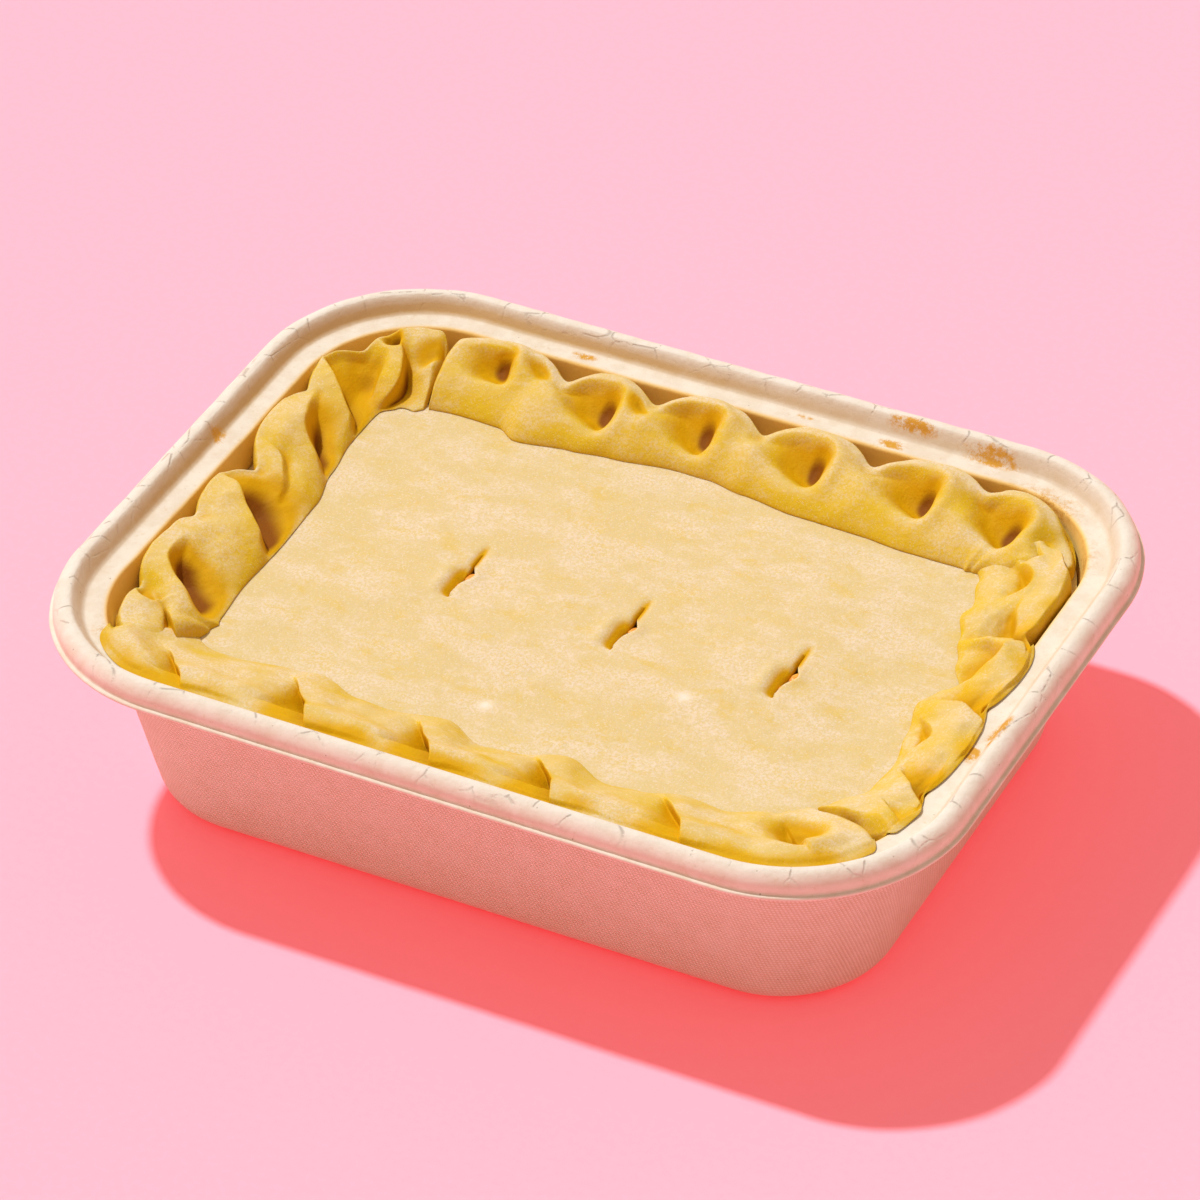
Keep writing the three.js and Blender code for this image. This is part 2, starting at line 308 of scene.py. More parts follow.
class Surface:
    """A material under construction: a Principled shader and short ways to add nodes to it."""

    def __init__(self, name, **settings):
        self.material = bpy.data.materials.new(name)
        self.material.use_nodes = True
        self.tree = self.material.node_tree
        self.shader = self.tree.nodes["Principled BSDF"]
        for socket, value in settings.items():
            self.shader.inputs[socket.replace("_", " ")].default_value = value
        self.place = self.tree.nodes.new("ShaderNodeTexCoord").outputs["Object"]

    def link(self, source, target):
        """Joins a node's output to an input."""
        self.tree.links.new(source, target)

    def noise(self, size, detail=3.0, roughness=0.5, place=None, distortion=0.0):
        """A noise pattern with features of about size metres."""
        node = self.tree.nodes.new("ShaderNodeTexNoise")
        node.inputs["Scale"].default_value = 1.0 / size
        node.inputs["Detail"].default_value = detail
        node.inputs["Roughness"].default_value = roughness
        node.inputs["Distortion"].default_value = distortion
        self.link(place or self.place, node.inputs["Vector"])
        return node.outputs["Fac"]

    def stretched(self, x, y, z):
        """Object coordinates multiplied along each axis, so that patterns grow along the small
        ones."""
        node = self.tree.nodes.new("ShaderNodeVectorMath")
        node.operation = "MULTIPLY"
        self.link(self.place, node.inputs[0])
        node.inputs[1].default_value = (x, y, z)
        return node.outputs["Vector"]

    def cells(self, size, feature="F1"):
        """How far each point is from the middle, or the edge, of cells of about size metres."""
        node = self.tree.nodes.new("ShaderNodeTexVoronoi")
        node.feature = feature
        node.inputs["Scale"].default_value = 1.0 / size
        self.link(self.place, node.inputs["Vector"])
        return node.outputs["Distance"]

    def weave(self):
        """Mounds in slanting rows: the product of two sines of the map's metres, with the rows
        WEAVE_RISE apart and the mounds WEAVE_PITCH apart, each row a little further on."""
        parts = self.tree.nodes.new("ShaderNodeSeparateXYZ")
        self.link(self.tree.nodes.new("ShaderNodeUVMap").outputs["UV"], parts.inputs["Vector"])
        along, up = parts.outputs["X"], parts.outputs["Y"]
        slant = self.math("ADD", along, self.math("MULTIPLY", up, WEAVE_SLANT))
        mounds = self.math("SINE", self.math("MULTIPLY", slant, math.pi / (WEAVE_PITCH * MM)))
        rows = self.math("SINE", self.math("MULTIPLY", up, math.pi / (WEAVE_RISE * MM)))
        return self.math("MULTIPLY", self.math("ABSOLUTE", mounds), self.math("ABSOLUTE", rows))

    def field(self, name):
        """A value stored on the mesh."""
        node = self.tree.nodes.new("ShaderNodeAttribute")
        node.attribute_name = name
        return node.outputs["Fac"]

    def ramp(self, source, low, high, bottom=0.0, top=1.0):
        """Eases source from low to high onto bottom to top."""
        node = self.tree.nodes.new("ShaderNodeMapRange")
        node.interpolation_type = "SMOOTHSTEP"
        values = (low, high, bottom, top)
        for socket, value in zip(("From Min", "From Max", "To Min", "To Max"), values):
            node.inputs[socket].default_value = value
        self.link(source, node.inputs["Value"])
        return node.outputs["Result"]

    def math(self, operation, *values):
        """One sum on one or two values, each a socket or a number."""
        node = self.tree.nodes.new("ShaderNodeMath")
        node.operation = operation
        for socket, value in zip(node.inputs, values):
            if isinstance(value, (int, float)):
                socket.default_value = value
            else:
                self.link(value, socket)
        return node.outputs["Value"]

    def mix(self, factor, first, second):
        """Mixes two colours, each a socket or an (r, g, b)."""
        node = self.tree.nodes.new("ShaderNodeMix")
        node.data_type = "RGBA"
        for socket, value in zip((node.inputs["Factor"], node.inputs["A"], node.inputs["B"]),
                                 (factor, first, second)):
            if isinstance(value, (int, float)):
                socket.default_value = value
            elif isinstance(value, tuple):
                socket.default_value = (*value, 1.0)
            else:
                self.link(value, socket)
        return node.outputs["Result"]

    def colour(self, source):
        """Sets the colour."""
        self.link(source, self.shader.inputs["Base Color"])

    def relief(self, source, depth, strength=1.0):
        """Adds a bump of the given depth in metres on top of the ones before."""
        node = self.tree.nodes.new("ShaderNodeBump")
        node.inputs["Strength"].default_value = strength
        node.inputs["Distance"].default_value = depth
        self.link(source, node.inputs["Height"])
        normal = self.shader.inputs["Normal"]
        if normal.is_linked:
            self.link(normal.links[0].from_socket, node.inputs["Normal"])
        self.link(node.outputs["Normal"], normal)


def pastry_material():
    """Raw butter pastry. The field named bare goes from 0, dusted with flour, to 1, yellow
    butter dough. The field named deep turns it gold, partly bare dough and partly painted shade,
    and then dark brown, a painted shade, down in the folds, and dab lays flour paste on it. Flour
    lies in soft patches and as fine grains."""
    look = Surface("raw_pastry", Roughness=0.62, IOR=1.42, Specular_IOR_Level=0.12,
                   Subsurface_Weight=0.10, Subsurface_Scale=0.003)
    look.shader.inputs["Subsurface Radius"].default_value = (1.0, 0.6, 0.2)
    dough = (0.69, 0.545, 0.25)
    flour = (0.77, 0.65, 0.47)
    butter = (0.70, 0.475, 0.020)
    gold_and_shade = (0.66, 0.36, 0.001)
    shade_brown = (0.24, 0.075, 0.002)
    paste = (0.86, 0.80, 0.66)
    brushed = look.stretched(0.60, 1.0, 1.0)
    streaks = look.ramp(look.noise(0.0065, 6.0, 0.72, place=brushed, distortion=0.4), 0.50, 0.66)
    bare = look.math("MAXIMUM", look.field("bare"), look.math("MULTIPLY", streaks, 0.36))
    patches = look.ramp(look.noise(0.011, 6.0, 0.72, place=brushed), 0.42, 0.60)
    grains = look.ramp(look.noise(0.0007, 3.0, 0.75), 0.44, 0.58)
    dusted = look.math("MULTIPLY", patches, look.math("ADD", look.math("MULTIPLY", grains, 0.80), 0.15))
    specks = look.math("MULTIPLY", look.ramp(look.noise(0.00055, 2.0, 0.7), 0.56, 0.66), 0.75)
    dusted = look.math("MAXIMUM", dusted, specks)
    colour = look.mix(bare, dough, butter)
    flour_left = look.math("SUBTRACT", 1.0, look.math("MULTIPLY", bare, 0.62))
    colour = look.mix(look.math("MULTIPLY", dusted, flour_left), colour, flour)
    colour = look.mix(look.math("MULTIPLY", look.field("dab"), 0.9), colour, paste)
    deep = look.field("deep")
    # Painted shade: deep mixes in gold, partly bare dough, and then dark brown down in folds, dips and steep
    # sides.
    colour = look.mix(look.ramp(deep, 0.05, 0.55), colour, gold_and_shade)
    colour = look.mix(look.ramp(deep, 0.62, 1.20), colour, shade_brown)
    look.colour(colour)
    look.relief(look.noise(0.0040, 6.0, 0.68), 0.00040, 0.8)
    look.relief(look.noise(0.0007, 3.0, 0.7), 0.00016, 0.8)
    return look.material


def fibre_material():
    """Unbleached moulded fibre: beige with drifts of lighter and darker pulp, sparse dark specks,
    and on the bead chalky with hair cracks. It is stained gold where the field named stain says,
    painted browner as shade on the slope inside the bead, and painted amber on the wall above the
    pastry as grease and as light thrown back from the pastry. Outside, where woven says, it bears
    the mark of the forming mesh, drawn in the surface's own map as rows of small mounds with a
    painted highlight on each mound and painted shade in the grooves between."""
    look = Surface("moulded_fibre", Roughness=0.88, IOR=1.4, Specular_IOR_Level=0.3)
    pale = (0.79, 0.735, 0.61)
    beige = (0.73, 0.645, 0.50)
    tan_and_shade = (0.60, 0.41, 0.17)
    chalk = (0.77, 0.76, 0.67)
    amber_grease_and_bounce = (0.92, 0.61, 0.15)
    speck = (0.20, 0.12, 0.07)
    stain = (0.64, 0.33, 0.04)
    mound_highlight = (0.88, 0.83, 0.72)
    drift = look.ramp(look.noise(0.007, 7.0, 0.72), 0.38, 0.64)
    colour = look.mix(drift, pale, beige)
    blotchy = look.math("ADD", look.math("MULTIPLY", look.noise(0.005, 6.0, 0.75), 1.3), 0.5)
    # Painted shade: tan browns the slope inside the bead.
    colour = look.mix(look.math("MULTIPLY", look.field("tan_and_shade"), blotchy), colour, tan_and_shade)
    # Painted light: amber on the wall above the pastry, grease together with light thrown back by the
    # pastry.
    colour = look.mix(look.math("MULTIPLY", look.field("grease_and_bounce"), 0.95), colour, amber_grease_and_bounce)
    specks = look.ramp(look.cells(0.0042), 0.030, 0.060, 1.0, 0.0)
    colour = look.mix(look.math("MULTIPLY", specks, 0.6), colour, speck)
    flecked = look.ramp(look.noise(0.0012, 3.0, 0.6), 0.60, 0.72)
    colour = look.mix(look.math("MULTIPLY", flecked, 0.25), colour, tan_and_shade)
    ragged = look.ramp(look.noise(0.0026, 8.0, 0.85), 0.34, 0.66, 0.15, 1.0)
    soaked = look.ramp(look.math("MULTIPLY", look.field("stain"), ragged), 0.10, 0.42)
    colour = look.mix(look.math("MULTIPLY", look.field("bead"), 0.45), colour, chalk)
    colour = look.mix(soaked, colour, stain)
    crack = look.ramp(look.cells(0.011, "DISTANCE_TO_EDGE"), 0.0, 0.035, 1.0, 0.0)
    crack = look.math("MULTIPLY", crack, look.ramp(look.noise(0.004, 4.0, 0.7), 0.45, 0.55))
    crack = look.math("MULTIPLY", crack, look.field("bead"))
    colour = look.mix(look.math("MULTIPLY", crack, 0.45), colour, speck)
    look.relief(look.noise(0.0011, 5.0, 0.7), 0.00012, 0.7)
    look.relief(look.math("MULTIPLY", look.noise(0.0045, 5.0, 0.65), look.field("bead")), 0.0008, 0.7)
    look.relief(look.math("SUBTRACT", 1.0, crack), 0.0003, 0.6)
    weave = look.weave()
    # Painted shade in the grooves of the mesh mark and a painted highlight on its mounds.
    shaded_grooves = look.math("MULTIPLY", look.math("SUBTRACT", 1.0, weave), look.field("woven"))
    look.relief(look.math("SUBTRACT", 1.0, shaded_grooves), 0.0003, 0.7)
    mounds = look.math("MULTIPLY", weave, look.field("woven"))
    colour = look.mix(look.math("MULTIPLY", mounds, 0.95), colour, mound_highlight)
    look.colour(look.mix(look.math("MULTIPLY", shaded_grooves, 0.36), colour, tan_and_shade))
    return look.material


def filling_material():
    """Thick golden sauce with darker flecks."""
    look = Surface("filling", Roughness=0.35, IOR=1.4)
    dark = (0.16, 0.05, 0.008)
    golden = (0.50, 0.20, 0.03)
    fleck = look.ramp(look.noise(0.003, 3.0, 0.6), 0.42, 0.62)
    look.colour(look.mix(fleck, dark, golden))
    look.relief(look.noise(0.0012, 2.0, 0.5), 0.0002, 0.6)
    return look.material


def carrot_material():
    """Cooked carrot dice in sauce."""
    look = Surface("carrot", Roughness=0.4, IOR=1.4)
    deep_orange = (0.80, 0.25, 0.02)
    light_orange = (0.85, 0.42, 0.07)
    tone = look.ramp(look.noise(0.002, 3.0, 0.6), 0.35, 0.65)
    look.colour(look.mix(tone, deep_orange, light_orange))
    return look.material


def floor_material():
    """Plain pale pink card with a faint grain and a painted red glow that stands for the light a pink room
    throws back.
    """
    look = Surface("floor", Roughness=0.9, IOR=1.3)
    pink = (0.87, 0.455, 0.565)
    paler_pink = (0.89, 0.467, 0.580)
    grain = look.noise(0.002, 3.0, 0.5)
    look.colour(look.mix(look.ramp(grain, 0.3, 0.7), pink, paler_pink))
    look.shader.inputs["Emission Color"].default_value = (1.0, 0.0, 0.0, 1.0)
    look.shader.inputs["Emission Strength"].default_value = FLOOR_GLOW
    return look.material


# ---------------------------------------------------------------- tray

def arc(middle_inset, middle_z, radius, first, last, count):
    """Rows of (inset, z, 0) round part of a circle, angles in half turns from the outside up."""
    angle = np.linspace(first, last, count) * math.pi
    inset = middle_inset - radius * np.cos(angle)
    return np.stack((inset, middle_z + radius * np.sin(angle), np.zeros(count)), axis=-1)


def row_line(first, last, count):
    """Rows in a straight line from one (inset, z, taper) to another, with the last left out."""
    return np.linspace(first, last, count, endpoint=False)


def tray_rows():
    """The tray's section from the middle of its underside, out, up, over the rim and down the
    inside to the middle of its floor. Each row is an inset from the rim's edge, a height, and
    how far down the tapered wall it lies, from 0 at the top to 1 at the base."""
    outside = WALL_INSET - FIBRE
    top = TRAY_HEIGHT
    shelf = SHELF_TOP
    bead = LIP_REACH + BEAD_RADIUS
    lip = top - LIP_DROP
    angle = np.linspace(0, math.pi / 2, 7)
    foot_z = BASE_FILLET * (1 - np.cos(angle))
    foot = np.stack((outside + BASE_FILLET * (1 - np.sin(angle)), foot_z,
                     1 - foot_z / SHELF_UNDERSIDE), axis=-1)
    inner_radius = BASE_FILLET - FIBRE
    heel_z = FIBRE + inner_radius * (1 - np.cos(angle[::-1]))
    heel = np.stack((WALL_INSET + inner_radius * (1 - np.sin(angle[::-1])), heel_z,
                     1 - heel_z / SHELF_UNDERSIDE), axis=-1)
    rows = [
        row_line((outside + FLOOR_RING, 0, 1), (outside + BASE_FILLET, 0, 1), 4),
        foot,
        row_line((outside, foot_z[-1] + 1.5, foot[-1, 2] - 0.03), (outside, SHELF_UNDERSIDE, 0), 22),
        row_line((outside, SHELF_UNDERSIDE, 0), (SLOPE_END - FIBRE, shelf - FIBRE, 0), 4),
        row_line((SLOPE_END - FIBRE, shelf - FIBRE, 0), (bead, top - FIBRE, 0), 4),
        row_line((bead, top - FIBRE, 0), (LIP_REACH + FIBRE, top - BEAD_RADIUS, 0), 4),
        row_line((LIP_REACH + FIBRE, top - BEAD_RADIUS, 0), (LIP_REACH + FIBRE, lip - 0.8, 0), 3),
        row_line((LIP_REACH + FIBRE, lip - LIP_THICKNESS, 0), (0.3, lip - LIP_THICKNESS, 0), 3),
        arc(LIP_THICKNESS / 2, lip - LIP_THICKNESS / 2, LIP_THICKNESS / 2, -0.45, 0.45, 6),
        row_line((0.75, lip, 0), (LIP_REACH, lip + 0.15, 0), 2),
        row_line((LIP_REACH, lip + 0.4, 0), (LIP_REACH, top - BEAD_RADIUS - 0.2, 0), 2),
        arc(bead, top - BEAD_RADIUS, BEAD_RADIUS, 0, 0.60, 18),
        row_line((5.75, top - 0.62, 0), (5.95, top - 0.80, 0), 2),
        row_line((6.15, top - 1.25, 0), (SLOPE_END - 0.3, shelf + 0.45, 0), 6),
        row_line((SLOPE_END, shelf + 0.12, 0), (SLOPE_END + 0.8, shelf, 0), 2),
        row_line((SLOPE_END + 0.8, shelf, 0), (WALL_INSET - 0.9, shelf - 0.1, 0), 5),
        arc(WALL_INSET - 0.9, shelf - 1.0, 0.9, 0.5, 1.0, 5),
        row_line((WALL_INSET, shelf - 2.0, 0.02), (WALL_INSET, heel_z[0] + 1.5, heel[0, 2] - 0.03), 20),
        heel,
        row_line((WALL_INSET + inner_radius + 4, FIBRE, 1), (WALL_INSET + FLOOR_RING, FIBRE, 1), 4),
    ]
    return np.concatenate(rows)


# Grease stains on the tray: middle x, y, half sizes along x and y, strength.
STAINS = (
    (-43.0, 76.5, 3.0, 1.3, 0.95),
    (17.0, 77.0, 3.2, 0.9, 0.7),
    (40.0, 76.0, 3.8, 1.5, 0.95),
    (43.0, 81.0, 7.0, 1.6, 0.75),
    (64.0, 79.5, 8.0, 2.0, 0.72),
    (80.0, 69.0, 14.0, 8.0, 0.50),
    (96.0, 52.0, 7.0, 12.0, 0.45),
    (108.0, -14.0, 2.2, 5.5, 0.95),
    (104.8, -21.0, 2.0, 3.5, 0.9),
    (-107.0, 10.0, 1.8, 2.6, 0.75),
    (-93.0, -66.0, 5.0, 4.0, 0.40),
)


def stain_field(points):
    """Grease on the fibre: the strongest of the stains at each point, each fading from its
    middle as a bell over its ellipse."""
    strongest = np.zeros(points.shape[:-1])
    for x, y, half_x, half_y, strength in STAINS:
        away = ((points[..., 0] - x) / half_x) ** 2 + ((points[..., 1] - y) / half_y) ** 2
        strongest = np.maximum(strongest, strength * np.exp(-away))
    return strongest


def zone_fields(points, inset, count):
    """Where the tray is browner, amber, chalky and marked by the mesh: the slope inside the bead is
    painted browner as shade, more so at the back and left, which face away from the light; the
    wall above the pastry is painted amber, as grease and as light thrown back by the pastry; the
    bead is chalky and cracked; the outer wall is marked."""
    x, y, z = (points[..., k] for k in range(3))
    inside = (np.arange(count) > count // 2)[:, None]
    slope = np.exp(-((inset - 7.2) / 1.0) ** 2) * inside
    wall = smooth((inset - (WALL_INSET - 1.2)) / 1.2) * inside
    away = smooth((y - x - 20) / 120.0)
    # Painted shade on the slope inside the bead, stronger at the back and left, which face away from the
    # light.
    tan_and_shade = slope * (0.30 + 0.75 * away)
    # Amber on the upper inner wall: grease and painted light thrown back by the pastry.
    grease_and_bounce = wall * smooth((z - 30.0) / 10.0)
    bead = np.exp(-((inset - 4.2) / 2.2) ** 2) * smooth((z - 50) / 3.0)
    woven = (~inside) * smooth((z - 1.5) / 2.0) * smooth((SHELF_UNDERSIDE - 1.0 - z) / 1.5) + 0 * x
    return {"tan_and_shade": tan_and_shade, "grease_and_bounce": grease_and_bounce, "bead": bead, "woven": woven}


def wall_map(points):
    """The tray's surface map, as one pair for each corner of the grid's quads: metres round the
    wall, measured along one row of it, and metres along the section."""
    count, around = points.shape[:2]
    step = np.linalg.norm(np.diff(points, axis=0), axis=-1).mean(axis=1)
    down = np.concatenate(([0], np.cumsum(step))) * MM
    middle = points[count // 4]
    stride = np.linalg.norm(np.roll(middle, -1, axis=0) - middle, axis=-1)
    round_wall = np.concatenate(([0], np.cumsum(stride))) * MM
    row, column = np.meshgrid(np.arange(count - 1), np.arange(around), indexing="ij")
    corners = ((0, 0), (1, 0), (1, 1), (0, 1))
    pairs = [np.stack((round_wall[column + on], down[row + below]), axis=-1) for on, below in corners]
    return np.stack(pairs, axis=2).reshape(-1, 2)


def make_tray(material):
    """The moulded tray: its section carried round rounded rectangles, with a slight waviness
    of the rim. The surface's map counts metres round the wall and along the section."""
    rows = tray_rows()
    leg, along, turn = legs(*TRAY_STATIONS)
    inset, z, taper = (rows[:, [k]] for k in range(3))
    length = RIM_LENGTH - 2 * inset - taper * (WALL_TOP_LENGTH - BASE_LENGTH)
    width = RIM_WIDTH - 2 * inset - taper * (WALL_TOP_WIDTH - BASE_WIDTH)
    radius = np.maximum(RIM_RADIUS - inset - taper * (WALL_TOP_RADIUS - BASE_RADIUS), 3.0)
    x, y = rounded(length, width, radius, leg, along, turn)
    points = on_plane(x, y, z)
    sway = 0.10 * noise(points, 14.0, 3) + 0.07 * noise(points, 5.0, 4)
    amount = smooth((z - 8.0) / 20.0) * (sway - 0.16)
    scale = 1 + amount / np.linalg.norm(points[..., :2], axis=-1)
    points[..., 0] *= scale
    points[..., 1] *= scale
    points[..., 2] += smooth((z - 40.0) / 10.0) * (sway - 0.16)
    count, around = x.shape
    hubs = np.array([[0, 0, 0], [0, 0, FIBRE]], float)
    vertices = np.concatenate((points.reshape(-1, 3), hubs))
    quads, caps = capped_faces(count, around)
    uv = np.concatenate((wall_map(points), np.zeros((caps.size, 2))))
    fields = {"stain": stain_field(points), **zone_fields(points, inset, count)}
    fields = {name: np.append(values.ravel(), (0, 0)) for name, values in fields.items()}
    tray = mesh_object("moulded_tray", vertices, (quads, caps), material, fields, uv)
    return add_piece(tray, "moulded_fibre", "tray")


# ---------------------------------------------------------------- lid and filling

def lid_height(x, y):
    """Top of the lid: level at its edge, rising to a low crown with slow waves."""
    edge = np.minimum(LID_HIGH[0] - np.abs(x), LID_HIGH[1] - np.abs(y))
    points = on_plane(x, y)
    waves = 0.30 * noise(points, 34.0, 11) + 0.10 * noise(points, 11.0, 12)
    crown = smooth((edge - 20.0) / 42.0)
    return LID_TOP + (LID_RISE - 0.35) * crown + waves * smooth((edge - 12.0) / 14.0)


def round_corners(x, y, half_length, half_width, radius):
    """Bends the corners of a square grid onto quarter circles: beyond a corner's centre each
    point keeps its larger offset as its distance from that centre."""
    over_x = np.maximum(np.abs(x) - (half_length - radius), 0)
    over_y = np.maximum(np.abs(y) - (half_width - radius), 0)
    far = np.hypot(over_x, over_y)
    pull = np.where((over_x > 0) & (over_y > 0), np.maximum(over_x, over_y) / np.maximum(far, 1e-9), 1)
    new_x = np.sign(x) * (np.minimum(np.abs(x), half_length - radius) + over_x * pull)
    new_y = np.sign(y) * (np.minimum(np.abs(y), half_width - radius) + over_y * pull)
    return new_x, new_y


def slit_opening(x, y, side):
    """How far each point moves along x and z at the slits, and how gold it is, partly bare dough
    and partly painted shade on the drooping left lip and in the crease. Part runs from -1 to 1
    along a slit. The left lip droops into the cut; the right lip draws back as a bell of part.
    Beyond the open stretch the cut is pinched into a crease."""
    shift, lift, gold_and_shade = np.zeros_like(x), np.zeros_like(x), np.zeros_like(x)
    for slit_x, slit_y in SLITS:
        away = x - slit_x
        hand = np.where(np.abs(away) < 1e-6, side, np.sign(away))
        part = (y - slit_y) / SLIT_HALF_LENGTH
        open_part = np.sqrt(np.clip(1 - part ** 2, 0, 1))
        gape = SLIT_GAPE * np.exp(-((part + 0.12) / 0.34) ** 2) + 0.35
        shift += np.where(hand > 0, gape, -0.25) * open_part * np.exp(-(away / 5.0) ** 2)
        front = smooth((part + 1.25) / 0.35) * smooth((0.45 - part) / 0.6)
        droop = -1.9 * np.exp(-np.abs(away / 2.1) ** 1.5) + 0.55 * np.exp(-((away + 4.2) / 2.0) ** 2)
        curl = 0.5 * np.exp(-(away / 2.4) ** 2) * np.exp(-((part + 0.1) / 0.6) ** 2)
        crease = np.exp(-(away / 0.9) ** 2) * smooth((part - 0.1) / 0.4) * smooth((1.5 - part) / 0.5)
        lift += np.where(hand < 0, droop * front, curl) - 0.7 * crease
        # Painted shade: the left lip that droops into the cut turns gold, and so does the crease.
        lip = np.exp(-((away + 0.5) / 1.9) ** 2) * front
        gold_and_shade = np.maximum(gold_and_shade, np.maximum(np.where(hand < 0, 0.85 * lip, 0), 0.6 * crease))
    return shift, lift, gold_and_shade


def make_lid(material):
    """The pastry lid: a square grid bent to the tray's rounded outline, with a top, a bottom and
    an edge. Each slit is a doubled grid line whose two sides part, with walls down to the
    bottom."""
    half_length, half_width = LID_HIGH[0], LID_HIGH[1]
    across = np.linspace(-half_length, half_length, int(2 * half_length / LID_GRID))
    side = np.zeros(len(across))
    for slit_x, _ in SLITS:
        near = np.argmin(np.abs(across - slit_x))
        across[near] = slit_x
        across = np.insert(across, near, slit_x)
        side = np.insert(side, near, -1.0)
        side[near + 1] = 1.0
    up = np.linspace(-half_width, half_width, int(2 * half_width / LID_GRID))
    columns, rows = len(across), len(up)
    flat_x, flat_y = np.meshgrid(across, up)
    shift, lift, gold_and_shade = slit_opening(flat_x, flat_y, side[None, :])
    x, y = round_corners(flat_x + shift, flat_y, half_length, half_width, LID_CORNER)
    top = lid_height(x, y) + lift + 0.05 * noise(on_plane(x, y), 3.0, 13)
    points = np.concatenate((on_plane(x, y, top).reshape(-1, 3),
                             on_plane(x, y, LID_TOP - LID_THICKNESS).reshape(-1, 3)))
    number = np.arange(rows * columns).reshape(rows, columns)
    holes = []
    open_cell = np.zeros((rows - 1, columns - 1), bool)
    for slit_x, slit_y in SLITS:
        right = np.where((side == 1.0) & (np.abs(across - slit_x) < 1e-6))[0][0]
        inside = np.abs(up - slit_y) < SLIT_HALF_LENGTH
        number[~inside, right] = number[~inside, right - 1]
        first, last = np.where(inside)[0][[0, -1]]
        open_cell[first - 1:last + 1, right - 1] = True
        holes.append((first - 1, last + 1, right))
    cells = np.stack((number[:-1, :-1], number[:-1, 1:], number[1:, 1:], number[1:, :-1]), axis=-1)
    shut = ~open_cell & (cells[..., 0] != cells[..., 1])
    top_faces = cells[shut]
    bottom_faces = top_faces[:, ::-1] + rows * columns
    walls = []
    for first, last, right in holes:
        left_line = number[first:last + 1, right - 1]
        right_line = number[first:last + 1, right]
        walls.append(wall_quads(left_line[::-1], rows * columns))
        walls.append(wall_quads(right_line, rows * columns))
    rim = grid_outline(number)
    keep = np.concatenate(([True], rim[1:] != rim[:-1]))
    rim = rim[keep]
    walls.append(wall_quads(np.append(rim, rim[0])[::-1], rows * columns))
    quads = np.concatenate((top_faces, bottom_faces, *walls))
    # Painted shade: the lid's underside gets the deepest value, so it is brown and the slit walls darken
    # from gold to brown on the way down.
    deep = np.concatenate((gold_and_shade.ravel(), np.full(gold_and_shade.size, 1.4)))
    dab = sum(np.exp(-((x - dab_x) ** 2 + (y - dab_y) ** 2) / DAB_RADIUS ** 2) for dab_x, dab_y in DABS)
    fields = {"deep": deep, "bare": deep, "dab": np.concatenate((dab.ravel(), 0 * dab.ravel()))}
    points, quads, fields = only_used(points, quads, fields)
    lid = mesh_object("lid_sheet", points, (quads,), material, fields)
    return add_piece(lid, "pastry", "pastry_lid")


def wall_quads(line, below):
    """Quads that hang from a line of vertex numbers to the same line on the bottom. Seen from
    outside the wall, the line runs to the left."""
    first, after = line[:-1], line[1:]
    quads = np.stack((first, after, after + below, first + below), axis=-1)
    return quads[first != after]


def only_used(points, quads, fields):
    """The same mesh without the points that no face uses."""
    used = np.zeros(len(points), bool)
    used[quads] = True
    renumbered = np.cumsum(used) - 1
    return points[used], renumbered[quads], {name: values[used] for name, values in fields.items()}


def make_filling(material):
    """The filling: a grid bent to the tray's outline, its top sunk by low lumps, on straight
    sides that draw in to its base, which is narrower by FILLING_TAPER of the depth and
    FILLING_DRAW of itself."""
    half_length, half_width = FILLING_HIGH[0] - FILLING_GAP, FILLING_HIGH[1] - FILLING_GAP
    across = np.linspace(-half_length, half_length, FILLING_GRID[0])
    up = np.linspace(-half_width, half_width, FILLING_GRID[1])
    x, y = round_corners(*np.meshgrid(across, up), half_length, half_width, FILLING_CORNER)
    lumps = 0.7 * noise(on_plane(x, y), 5.0, 21) - 0.7
    top = FILLING_HIGH[2] + np.minimum(lumps, 0)
    depth = FILLING_HIGH[2] - FILLING_LOW[2]
    shrink = (1 - depth * FILLING_TAPER / half_length) * FILLING_DRAW
    top_points = on_plane(x, y, top).reshape(-1, 3)
    low_points = on_plane(x * shrink, y * shrink, FILLING_LOW[2] + FILLING_LIFT).reshape(-1, 3)
    rows, columns = x.shape
    number = np.arange(rows * columns).reshape(rows, columns)
    top_faces = grid_faces(rows, columns, wrap=False)
    rim = grid_outline(number)
    wall = wall_quads(np.append(rim, rim[0])[::-1], rows * columns)
    bottom_faces = top_faces[:, ::-1] + rows * columns
    quads = np.concatenate((top_faces, bottom_faces, wall))
    filling = mesh_object("filling_body", np.concatenate((top_points, low_points)), (quads,), material)
    return add_piece(filling, "filling", "filling")


# ---------------------------------------------------------------- crimped edge

